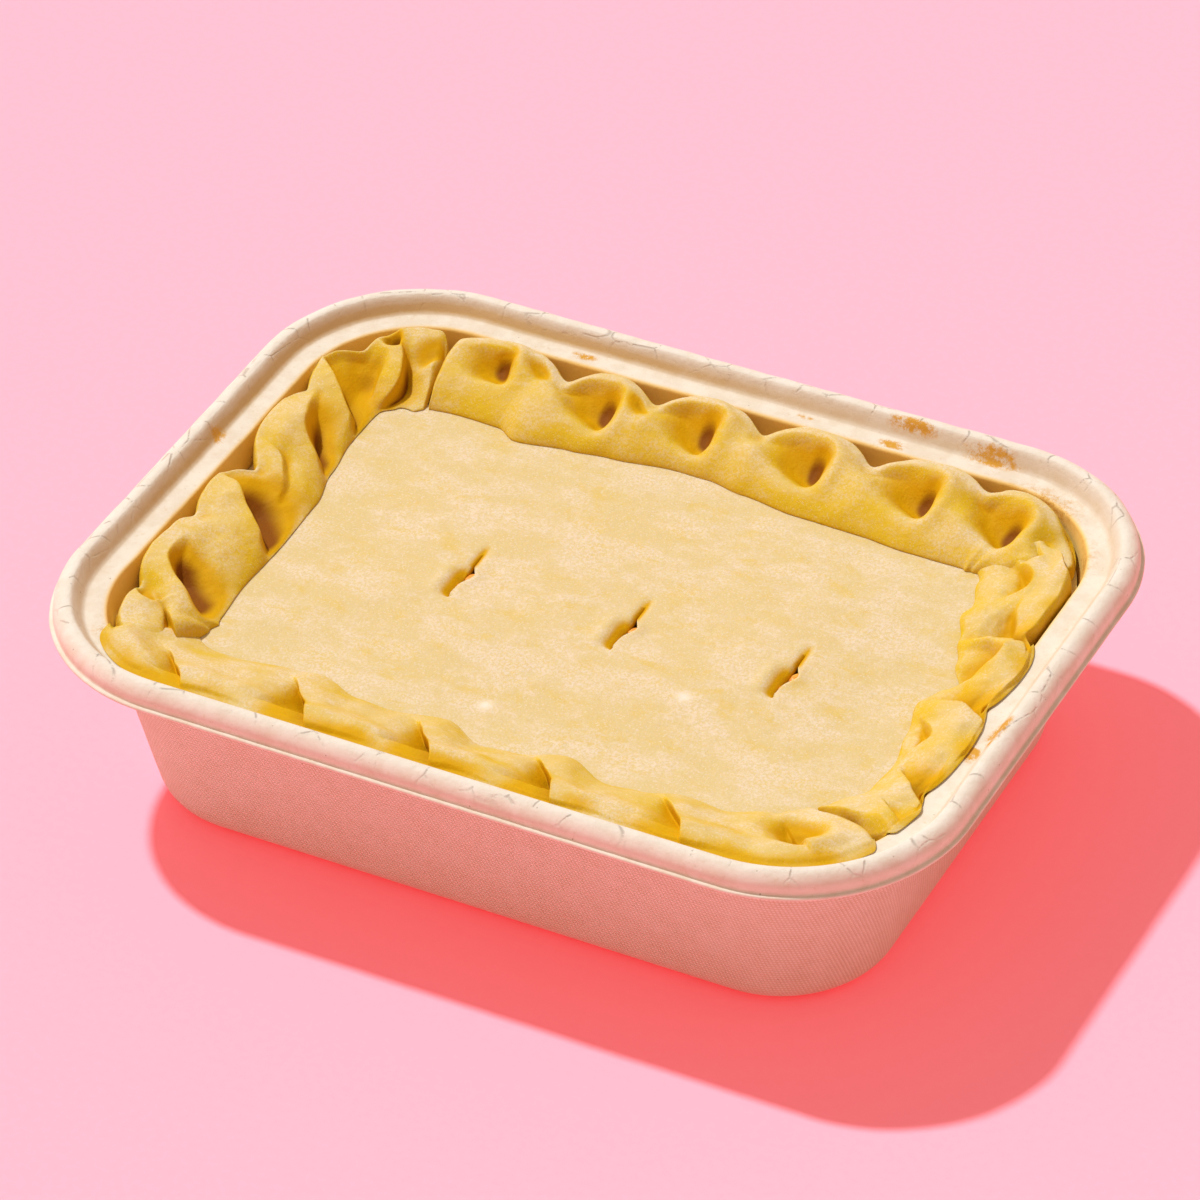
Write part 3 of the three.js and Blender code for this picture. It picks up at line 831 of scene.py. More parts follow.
class Wall:
    """The line inside the tray's wall at the height of the lid's top, walked by distance
    anticlockwise from the middle of the front."""

    length, width, radius = wall_sizes(LID_TOP, FIBRE)
    straights = (length - 2 * radius, width - 2 * radius)
    corner = radius * math.pi / 2
    draft = (WALL_TOP_WIDTH - BASE_WIDTH) / 2 / SHELF_UNDERSIDE

    @classmethod
    def place(cls, distance, inset, z):
        """The point at a distance along the wall, moved in by inset and following the wall's
        draft with height."""
        long, short = cls.straights
        spans = np.array([long, short, long, short]) + cls.corner
        starts = np.concatenate(([0], np.cumsum(spans)))
        walked = (distance + long / 2) % starts[-1]
        leg = np.clip(np.searchsorted(starts, walked, side="right") - 1, 0, 3)
        straight = np.where(leg % 2 == 0, long, short)
        past = walked - starts[leg]
        along = 2 * np.minimum(past, straight) / straight - 1
        turn = np.maximum(past - straight, 0) / cls.radius
        inward = inset - cls.draft * (z - LID_TOP)
        x, y = rounded(cls.length - 2 * inward, cls.width - 2 * inward, cls.radius - inward,
                       leg, along, turn)
        return np.stack((x, y, z + np.zeros_like(x)), axis=-1)


def arched(places, t):
    """A line of arches through (t, value) pairs that go notch, crest, notch and so on: each half
    arch rises from its notch as a quarter circle."""
    places = np.array(places, float)
    index = np.clip(np.searchsorted(places[:, 0], t) - 1, 0, len(places) - 2)
    part = np.clip((t - places[index, 0]) / (places[index + 1, 0] - places[index, 0]), 0, 1)
    rising = index % 2 == 0
    part = np.where(rising, part, 1 - part)
    notch = np.where(rising, places[index, 1], places[index + 1, 1])
    crest = np.where(rising, places[index + 1, 1], places[index, 1])
    return notch + (crest - notch) * round_edge(part) ** 1.2


def softened(values, taps, axis):
    """Values averaged with their neighbours along an axis by a bell of the given half width."""
    offsets = np.arange(-2 * taps, 2 * taps + 1)
    weights = np.exp(-(offsets / taps) ** 2)
    weights /= weights.sum()
    margin = [(0, 0)] * values.ndim
    margin[axis] = (2 * taps, 2 * taps)
    padded = np.pad(values, margin, mode="edge")
    size = values.shape[axis]
    total = np.zeros_like(values)
    for offset, weight in zip(offsets, weights):
        total += weight * np.take(padded, np.arange(size) + 2 * taps + offset, axis=axis)
    return total


def fold(line, steep=2.0, gentle=8.0, back=3.5, lean=1.2, gold_and_shade=0.55, shade_brown=1.0):
    """A pressed fold. line lists points (x, y, rise, depth) along its crest, with the hollow on
    the line's left; a fifth number scales gentle there. steep is the width of the wall between
    crest and hollow, gentle how far the hollow reaches beyond it, back how far the crest's
    swell reaches behind it, and lean how far the crest hangs over the hollow. The last two paint
    shade: how gold the hollow is, partly bare dough and partly painted shade, and how dark brown
    its foot is, a painted shade under the crest."""
    return dict(line=np.array(line, float), steep=steep, gentle=gentle, back=back, lean=lean,
                gold_and_shade=gold_and_shade, shade_brown=shade_brown)


def curve_through(points, count):
    """A Catmull-Rom curve through the points: each span is the cubic whose end slopes are half
    the chord between the neighbours."""
    padded = np.concatenate((2 * points[:1] - points[1:2], points, 2 * points[-1:] - points[-2:-1]))
    place = np.linspace(0, len(points) - 1 - 1e-9, count)
    span = place.astype(int)
    t = (place - span)[:, None]
    p0, p1, p2, p3 = (padded[span + k] for k in range(4))
    return 0.5 * (2 * p1 + (p2 - p0) * t + (2 * p0 - 5 * p1 + 4 * p2 - p3) * t ** 2
                  + (3 * p1 - p0 - 3 * p2 + p3) * t ** 3)


def fold_relief(x, y, shape):
    """What a fold does at each point: height added, lean along x and y, and depth of painted shade.
    Every point weighs the line's samples by nearness, so its offset from the line, its side
    and the line's own rise and depth change smoothly."""
    line = shape["line"]
    if line.shape[1] == 4:
        line = np.column_stack((line, np.ones(len(line))))
    line = curve_through(line, 26)
    slope = np.gradient(line[:, :2], axis=0)
    slope /= np.linalg.norm(slope, axis=1, keepdims=True)
    reach = 2.2 * shape["gentle"] + 6.0
    near = ((x > line[:, 0].min() - reach) & (x < line[:, 0].max() + reach)
            & (y > line[:, 1].min() - reach) & (y < line[:, 1].max() + reach))
    dx = x[near][:, None] - line[:, 0]
    dy = y[near][:, None] - line[:, 1]
    far = np.hypot(dx, dy)
    least = far.min(axis=1, keepdims=True)
    weight = np.exp(-(far - least) / (0.10 * least + 0.25))
    weight /= weight.sum(axis=1, keepdims=True)
    away = (weight * (dy * slope[:, 0] - dx * slope[:, 1])).sum(axis=1)
    beyond = (weight * (dx * slope[:, 0] + dy * slope[:, 1])).sum(axis=1)
    rise = (weight * line[:, 2]).sum(axis=1)
    depth = (weight * line[:, 3]).sum(axis=1)
    normal_x = -(weight * slope[:, 1]).sum(axis=1)
    normal_y = (weight * slope[:, 0]).sum(axis=1)
    window = np.exp(-(beyond / 3.0) ** 2)
    steep, gentle = shape["steep"], shape["gentle"] * (weight * line[:, 4]).sum(axis=1)
    over = np.maximum(away, 0)
    swell = np.where(away < 0, np.exp(-np.abs(away / shape["back"]) ** 1.4),
                     np.exp(-(over / (0.7 * steep)) ** 2))
    hollow = smooth(over / steep) * np.exp(-(np.maximum(over - steep, 0) / gentle) ** 1.5)
    strength = np.clip(depth / 5.0, 0, 1) * window
    # Painted shade: the foot under the crest is painted dark brown, and the hollow gold, partly bare dough.
    foot = np.exp(-((away - 0.9 * steep) / (0.55 * steep + 0.4)) ** 2)
    lip = np.exp(-((away + 0.2 * steep) / (0.8 * steep + 0.4)) ** 2) * shape["lean"] * strength
    results = (window * (rise * swell - depth * hollow), lip * normal_x, lip * normal_y,
               strength * np.maximum(shape["gold_and_shade"] * hollow, shape["shade_brown"] * foot))
    full = [np.zeros_like(x) for _ in results]
    for whole, part in zip(full, results):
        whole[near] = part
    return full


def bowl(x, y, depth, left, right, back, front, turn=-10.0, slant=0.15, rise=1.2, lean=1.2,
         gold_and_shade=0.80, shade_brown=1.40):
    """A thumb hollow. x, y is its deepest point, and left, right, back and front are its reaches,
    turned anticlockwise by turn degrees. slant is how far the hollow's right wall moves to the
    left for each step to the back. rise is the swell of its lip and lean how far the right lip
    hangs over it. The last two paint shade: how gold the hollow is, partly bare dough and partly
    painted shade, and how dark brown its corner is, a painted shade by the right wall."""
    return dict(x=x, y=y, depth=depth, left=left, right=right, back=back, front=front,
                turn=math.radians(turn), slant=slant, rise=rise, lean=lean, gold_and_shade=gold_and_shade, shade_brown=shade_brown)


def bowl_relief(x, y, shape):
    """What a thumb hollow does at each point: height added, lean along x and y, and depth of
    painted shade. Far is the distance over the reach of the point's quarter, as in a leaning ellipse.
    The depth is a bell of far, whose power goes from 2.1 at the left to 3.1, a steep wall, at
    the right."""
    cos, sin = math.cos(shape["turn"]), math.sin(shape["turn"])
    along = (x - shape["x"]) * cos + (y - shape["y"]) * sin
    across = (y - shape["y"]) * cos - (x - shape["x"]) * sin
    along = along + shape["slant"] * across
    part_along = np.abs(along) / np.where(along > 0, shape["right"], shape["left"])
    part_across = np.abs(across) / np.where(across > 0, shape["back"], shape["front"])
    far = (part_along ** 2.5 + part_across ** 2.5) ** 0.4
    span = np.maximum(np.hypot(along, across), 1e-6)
    right = np.clip(along / span, 0, 1)
    wall = smooth(0.5 + 0.5 * along / span)
    deep = np.exp(-((1.40 - 0.20 * wall) * far) ** (2.1 + 1.0 * wall))
    lip = np.exp(-((far - 1.15) / 0.36) ** 2) * (0.35 + 0.65 * right)
    over = np.exp(-((far - 0.95) / 0.45) ** 2) * right ** 1.5 * shape["lean"]
    # Painted shade: a dark brown corner by the hollow's right wall, and gold down in the hollow, partly bare
    # dough.
    corner = np.exp(-((along - 1.8) / 4.6) ** 2) * np.exp(-((across - 0.4) / 4.2) ** 2)
    return (shape["rise"] * lip - shape["depth"] * deep, -over * cos, -over * sin,
            np.maximum(shape["gold_and_shade"] * deep, shape["shade_brown"] * corner * deep ** 0.4))


def run_section(run):
    """A run before its folds are pressed in, as grids over the places along it and round its
    section: distance along the wall, q, whether a point is on top, the outer edge's inset, the
    point's own inset, its rise over the lid, and body, which is 1 within the run and fades at its
    edges. q goes from 0 at the wall to 1 at the lid: the top rises round its outer edge, stays
    level to the shoulder and falls to the lid as 1 less a power of q, itself raised to the run's
    blunt power."""
    first, last = run["span"]
    distance = np.linspace(first, last, int((last - first) / RUN_STEP))[:, None]
    over = np.linspace(0, math.pi, RUN_TOP)
    under = np.linspace(math.pi, 2 * math.pi, RUN_UNDER + 2)[1:-1]
    angle = np.concatenate((over, under))[None, :]
    q = (1 - np.cos(angle)) / 2
    on_top = (angle <= math.pi).astype(float)
    ends = np.minimum(distance - first, last - distance)
    start_part = smooth(1 - (distance - first) / BOW_REACH)
    last_part = smooth(1 - (last - distance) / BOW_REACH)
    bow = run["bow"][0] * start_part + run["bow"][1] * last_part
    distance = distance + bow * np.sin(math.pi * q)
    u = run["sign"] * (distance - run["middle"])
    taper = np.where(distance < (first + last) / 2, *run["taper"])
    size = 0.15 + 0.85 * round_edge(ends / taper)
    outer = softened(arched(run["outer"], u), run["soft"], 0)
    inner = softened(through(run["inner"], u), 2, 0)
    middle = (outer + inner) / 2
    outer = middle + (outer - middle) * size
    inner = middle + (inner - middle) * size
    n = outer + (inner - outer) * q
    height = softened(arched(run["height"], u), run["soft"], 0)
    height = (height + (run["ridge"] - height) * smooth((n - run["band"]) / 6.0)) * size
    shoulder, power, blunt = run["shoulder"], run["power"], run["blunt"]
    falling = np.clip((q - shoulder) / (1 - shoulder), 0, 1)
    section = round_edge(q / run["edge"]) * np.clip(1 - falling ** power, 0, 1) ** blunt
    section = section * (run["foot"] + (1 - run["foot"]) * smooth((n - outer) / 7.0))
    body = round_edge(np.minimum(q / 0.12, (1 - q) / 0.12)) * size
    return distance + 0 * q, q, on_top, outer, n, height * section, body


def press_folds(run, flat, rise, kept, free, body):
    """Presses a run's folds and hollows into its rise. kept is 0 on the rim that they leave alone
    and 1 inside it, and free is how far a point may lean. Gives the new rise, the lean along x
    and y, and the depth of painted shade, which is the deepest that any of them gives."""
    x, y = flat[..., 0], flat[..., 1]
    shift_x, shift_y, deep = np.zeros_like(rise), np.zeros_like(rise), np.zeros_like(rise)
    for shape in run["folds"]:
        press = bowl_relief if "turn" in shape else fold_relief
        relief, lean_x, lean_y, colour = press(x, y, shape)
        relief = np.where(relief < 0, relief * kept, relief)
        rise = rise + relief * body
        shift_x = shift_x + lean_x * free
        shift_y = shift_y + lean_y * free
        deep = np.maximum(deep, colour * body * (1 - run["clean"] * (1 - kept)))
    return rise, shift_x, shift_y, deep


def run_fields(run, points, rise, kept, from_edge, deep, seed):
    """How deep a painted shade and how little flour a run's points have. Dips below their
    surroundings, the edge along the wall and steep places turn gold as painted shade. Flour lies
    thinner in patches, and in deep and steep places, where its lack is partly painted shade; it
    lies thicker on the rim that folds leave alone."""
    top = rise[:, :RUN_TOP]
    # Painted shade: dips below their surroundings turn gold and brown.
    around_it = softened(softened(top, 12, 0), 12, 1)
    deep[:, :RUN_TOP] = np.maximum(deep[:, :RUN_TOP], np.clip((around_it - top) / 2.2, 0, 0.5))
    tilt = 1 - upward(points)
    uneven = noise(points, 9.0, seed + 5)
    # Painted shade: gold along the wall and on steep sides.
    edge_gold = run["gilt"] * (1 - smooth((from_edge - 1.5) / 6.0)) * (1 + uneven)
    deep = np.maximum(deep, np.maximum(edge_gold, 0.30 * smooth((tilt - 0.2) / 0.5)))
    # Less flour in deep and steep places is partly painted shade.
    bare = run["bare"] + 0.4 * uneven + deep + 0.9 * smooth(tilt / 0.45)
    bare = np.clip(bare - 0.45 * run["clean"] * (1 - kept), 0, 1)
    return {"deep": np.append(deep.ravel(), (0, 0)), "bare": np.append(bare.ravel(), (1, 1))}


def crimp_run(name, material, run, replaced, seed):
    """One run of the crimped edge: a closed section carried along the wall, with folds pressed
    in, then soft random swells. Its top never sinks below a least thickness over the lid and the
    tray's shelf, and its underside lies on them."""
    distance, q, on_top, outer, n, rise, body = run_section(run)
    flat = Wall.place(distance, n, LID_TOP + 0 * n)
    kept = smooth((n - outer - run["rim"]) / run["ease"])
    free = smooth((1 - q) / 0.22) * body
    rise, shift_x, shift_y, deep = press_folds(run, flat, rise, kept, free, body)
    rise = rise + run["swell"] * noise(flat, 6.0, seed) * body
    rise = rise + 0.3 * run["swell"] * noise(flat, 2.2, seed + 1) * body
    lid = lid_height(flat[..., 0], flat[..., 1]) + 0.04
    step = (SHELF_TOP + 0.12 - lid) * smooth((0.75 - n) / 0.5)
    least = step + run["least"] * body
    least = np.maximum(least, (SHELF_TOP - lid) * smooth((2.6 - n) / 3.0))
    rise = np.where(on_top > 0, least + softly_positive(rise - least), step)
    points = Wall.place(distance, n, lid + rise)
    points[..., 0] += shift_x * on_top
    points[..., 1] += shift_y * on_top
    for axis in (0, 1):
        points[..., axis] += run["sway"] * noise(points, 7.0, seed + 2 + axis) * free * on_top
    hubs = np.stack((points[0].mean(axis=0), points[-1].mean(axis=0)))
    vertices = np.concatenate((points.reshape(-1, 3), hubs))
    quads, caps = capped_faces(*n.shape)
    fields = run_fields(run, points, rise, kept, n - outer, deep, seed)
    piece = mesh_object(name, vertices, (quads[:, ::-1], caps[:, ::-1]), material, fields)
    return add_piece(piece, "pastry", replaced)


def upward(points):
    """How far a grid's surface faces up, from -1 to 1: the height part of its unit normal."""
    across = np.cross(np.gradient(points, axis=0), np.gradient(points, axis=1))
    return np.abs(across[..., 2]) / np.maximum(np.linalg.norm(across, axis=-1), 1e-9)


def softly_positive(value):
    """The value where it is well above 0 and 0 where it is well below, with a smooth bend."""
    return (value + np.sqrt(value ** 2 + 0.3)) / 2


# The four runs. span is a run's two ends as distances along the wall; middle and sign turn a
# distance into the place u that its own lines count in. outer, inner and height are those lines,
# for the inset of its two edges and its top over the lid, rounded over soft steps. ridge is the
# height past band mm from the wall. taper is how it rounds off at its ends, and bow how they
# bulge. edge, shoulder, power and blunt shape the section, foot is how low it starts at the
# wall, and least its least thickness. rim is the width of the rim that folds leave alone, ease
# how softly, and clean how far their painted shade does too. gilt is gold painted along the wall
# as shade, swell and sway its unevenness, and bare how little flour lies on it.
BACK_RUN = dict(
    span=(211.0, 396.5), middle=320.6, sign=-1, taper=(6.0, 3.5), bow=(0.0, 0.0), swell=0.25,
    soft=6, least=0.8, edge=0.12, shoulder=0.30, power=1.7, blunt=0.62, ridge=7.9, band=8.0,
    foot=1.0, rim=3.2, ease=2.6, clean=1.0, gilt=0.0, sway=0.4, bare=0.64,
    height=((-80, 5.4), (-57, 9.4), (-42.4, 5.0), (-31, 9.2), (-18.4, 5.0), (-4.6, 9.4), (9.6, 5.0),
            (25, 9.4), (38.6, 5.0), (56, 9.4), (68.6, 6.4), (80, 9.2), (94, 4.5)),
    outer=((-80, 7.0), (-57, 0.2), (-42.4, 7.4), (-31, 1.2), (-18.4, 7.6), (-4.6, 0.2), (9.6, 7.2),
           (25, 0.4), (38.6, 6.8), (56, 0.2), (68.6, 5.0), (79, 0.8), (110, 2.5)),
    inner=((-80, 23.5), (-63, 21.9), (-53, 22.2), (-47, 25.4), (-33, 23.2), (-23, 21.8), (-6, 19.6),
           (2, 19.7), (12, 21.5), (27, 23.6), (44, 24.0), (57, 25.2), (67, 25.3), (80, 26.0),
           (90, 25.0), (110, 21.0)),
    folds=[
        bowl(-60.2, 64.6, 6.0, 10.5, 5.2, 3.6, 7.0, turn=8),
        bowl(-30.8, 61.8, 6.8, 13.0, 6.2, 4.6, 8.4),
        bowl(-4.8, 63.4, 6.6, 13.0, 6.0, 4.0, 8.0),
        bowl(24.8, 62.2, 6.8, 13.5, 6.0, 4.6, 8.4),
        bowl(53.8, 61.8, 6.8, 14.5, 5.8, 4.6, 8.4, turn=-12),
        bowl(76.6, 59.6, 6.4, 13.5, 6.2, 5.0, 8.0, turn=-24),
        bowl(-49.5, 65.0, 1.8, 3.4, 2.6, 4.6, 4.6, turn=38, slant=0.0, rise=0.0, lean=0.2, shade_brown=0.2),
        bowl(-21.5, 62.6, 1.2, 3.0, 2.6, 4.0, 4.4, turn=38, slant=0.0, rise=0.0, lean=0.2, shade_brown=0.2),
    ],
)

LEFT_RUN = dict(
    span=(396.0, 556.0), middle=480.9, sign=-1, taper=(4.0, 9.0), bow=(0.0, 0.0), swell=0.4,
    soft=5, least=0.8, edge=0.12, shoulder=0.30, power=1.7, blunt=0.62, ridge=7.4, band=8.0,
    foot=1.0, rim=0.4, ease=3.2, clean=1.0, gilt=0.0, sway=0.4, bare=0.60,
    height=((-78, 4.5), (-60, 6.5), (-46, 5.6), (-31, 9.0), (-18.5, 6.4), (-6, 9.0), (4, 5.0),
            (24, 9.2), (36, 6.5), (50, 9.2), (60, 6.8), (74, 9.0), (90, 7.5)),
    outer=((-78, 3.0), (-60, 1.0), (-46, 4.5), (-31, 0.4), (-18.5, 3.6), (-6, 0.6), (4, 8.5),
           (24, 0.3), (36, 4.0), (48, 0.3), (58, 5.5), (74, 0.8), (90, 2.5)),
    inner=((-78, 16.0), (-64, 22.0), (-55, 24.2), (-47, 24.0), (-30, 22.8), (-14, 23.2), (5, 22.6),
           (17, 20.0), (30, 18.2), (40, 18.2), (55, 21.0), (70, 24.0), (90, 23.0)),
    folds=[
        fold([(-98.5, 46.5, 0.0, 2.0), (-93.0, 41.5, 0.6, 5.0), (-88.8, 37.2, 1.0, 6.5),
              (-85.2, 33.6, 1.0, 5.0), (-80.8, 28.8, 0.6, 2.0), (-77.8, 23.8, 0.0, 0.0)],
             steep=2.2, gentle=8.0, lean=1.6, gold_and_shade=0.85),
        bowl(-88.5, 50.0, 4.6, 9.0, 5.0, 7.0, 7.5, turn=-8, slant=0.2, rise=0.8, lean=0.8, shade_brown=0.5),
        fold([(-84.6, 60.0, 0.2, 1.0), (-82.4, 55.5, 0.9, 4.0), (-81.0, 50.5, 1.2, 5.6),
              (-81.6, 45.6, 1.2, 5.6), (-83.6, 41.5, 0.5, 2.0)],
             steep=1.5, gentle=4.0, back=2.5, lean=1.6, shade_brown=1.2),
        bowl(-86.6, 60.8, 3.4, 3.2, 2.6, 3.0, 3.0, turn=0, slant=0.3, rise=0.7, lean=0.8),
        bowl(-77.0, 62.5, 2.4, 4.0, 3.5, 5.0, 6.0, turn=-30, slant=0.0, rise=0.3, lean=0.2,
             shade_brown=0.4),
        fold([(-93.5, 33.0, 0.0, 1.5), (-91.6, 27.0, 0.6, 4.0), (-90.4, 22.4, 1.0, 6.0),
              (-86.8, 18.0, 1.2, 6.0), (-82.3, 14.3, 0.8, 3.5), (-77.8, 10.4, 0.0, 0.0)],
             steep=2.0, gentle=4.6, lean=1.6, gold_and_shade=1.15),
        fold([(-94.0, 12.0, 0.0, 0.5), (-89.0, 9.5, 0.3, 1.6), (-85.5, 4.0, 0.3, 1.4),
              (-84.5, -2.0, 0.0, 0.0)], steep=1.4, gentle=2.5, back=3.0, lean=0.4, shade_brown=0.2),
        fold([(-95.8, -5.2, 0.2, 1.0), (-91.8, -7.4, 0.9, 4.5), (-87.8, -11.2, 1.2, 6.6),
              (-83.8, -15.0, 1.2, 6.6), (-79.8, -18.4, 0.8, 3.5), (-75.8, -23.2, 0.0, 0.0)],
             steep=2.2, gentle=9.5, lean=1.7, gold_and_shade=1.35),
        fold([(-93.6, -31.5, 0.2, 2.0), (-93.0, -37.0, 0.7, 5.5), (-89.8, -40.9, 1.1, 7.0),
              (-86.0, -43.6, 1.1, 6.6), (-82.6, -46.0, 0.8, 4.0), (-79.0, -49.0, 0.1, 0.3)],
             steep=2.2, gentle=7.5, lean=0.9, gold_and_shade=1.35),
        fold([(-73.6, -64.0, 0.6, 3.5), (-76.2, -60.5, 0.8, 4.0), (-79.2, -56.2, 0.8, 4.0),
              (-82.5, -52.6, 0.6, 3.2), (-86.4, -50.0, 0.2, 1.5)],
             steep=1.1, gentle=3.0, back=2.5, lean=0.8),
        fold([(-88.6, -49.4, 0.2, 0.8), (-86.0, -51.6, 0.5, 2.0), (-84.2, -54.8, 0.2, 0.8)],
             steep=0.7, gentle=1.6, back=1.8, lean=0.5),
        fold([(-96.5, -46.4, 0.0, 0.8), (-93.0, -49.6, 0.4, 2.4), (-89.5, -50.4, 0.4, 2.4),
              (-87.6, -49.2, 0.0, 0.8)], steep=0.9, gentle=3.4, back=2.0, lean=0.4, shade_brown=0.5),
    ],
)


def pinch(x, y, depth=6.0, **changes):
    """The fold of a thumb pressed into the front crust: its crest runs from the lid, slanting
    down to the tray, with the hollow to the left of it. x, y is its end at the lid."""
    line = [(x + dx, y + dy, rise, depth * part, reach) for dx, dy, rise, part, reach in (
        (13.5, -20.0, 0.2, 0.7, 2.4), (11.5, -14.0, 0.6, 1.0, 1.9), (9.4, -9.8, 0.9, 1.0, 1.4),
        (6.4, -6.0, 1.1, 1.0, 0.9), (3.2, -2.8, 0.9, 0.7, 0.6), (-1.0, 0.6, 0.2, 0.1, 0.5))]
    # gold and brown here set the painted shade in the hollow and at its foot.
    return fold(line, **{"steep": 1.2, "gentle": 9.5, "back": 4.5, "lean": 1.9, "gold_and_shade": 0.85,
                         "shade_brown": 1.0, **changes})


FRONT_RUN = dict(
    span=(-99.0, 103.5), middle=0.0, sign=1, taper=(8.0, 3.5), bow=(0.0, 2.5), swell=0.3,
    soft=3, least=0.3, edge=0.12, shoulder=0.32, power=1.2, blunt=0.8, ridge=6.8, band=2.0,
    foot=0.95, rim=1.2, ease=5.5, clean=0.0, gilt=0.36, sway=0.5, bare=0.40,
    height=((-96, 7.6), (-82, 8.6), (-70, 8.0), (-57, 8.6), (-45, 8.0), (-33, 8.8), (-15, 8.0), (-5, 8.8),
            (14, 8.0), (26, 8.8), (46, 8.0), (57, 8.8), (74, 7.8), (84, 8.6), (104, 7.8)),
    outer=((-96, -1.5), (-80, -4.8), (-60, -4.0), (-40, -4.9), (-28, -4.2), (-10, -4.9),
           (5, -4.2), (22, -4.9), (36, -4.3), (56, -4.9), (70, -4.6), (84, -4.6), (104, -2.5)),
    inner=((-96, 19.0), (-66, 18.0), (-52, 19.9), (-45, 20.9), (-33, 16.9), (-25, 16.4), (-11, 18.9),
           (0, 13.9), (8, 14.9), (20, 18.9), (32, 13.9), (40, 14.9), (50, 17.9), (60, 16.9),
           (70, 20.9), (80, 23.0), (104, 23.0)),
    folds=[
        pinch(-77.0, -62.5, gentle=6.0, depth=3.6),
        pinch(-46.0, -58.5, gentle=9.0),
        pinch(-13.4, -59.8, gentle=9.0),
        pinch(17.0, -59.0, gentle=9.0),
        pinch(48.4, -59.0, gentle=7.5, depth=3.6),
        bowl(79.5, -59.0, 3.6, 8.5, 7.5, 5.5, 6.5, turn=-18, slant=0.0, rise=1.3, lean=0.6,
             gold_and_shade=0.85, shade_brown=0.5),
        fold([(86.0, -66.0, 0.2, 0.6), (83.6, -63.4, 0.6, 2.6), (80.6, -60.2, 0.6, 2.8),
              (77.6, -57.4, 0.2, 1.0)], steep=0.9, gentle=2.6, back=2.0, lean=0.8, gold_and_shade=0.9),
    ],
)

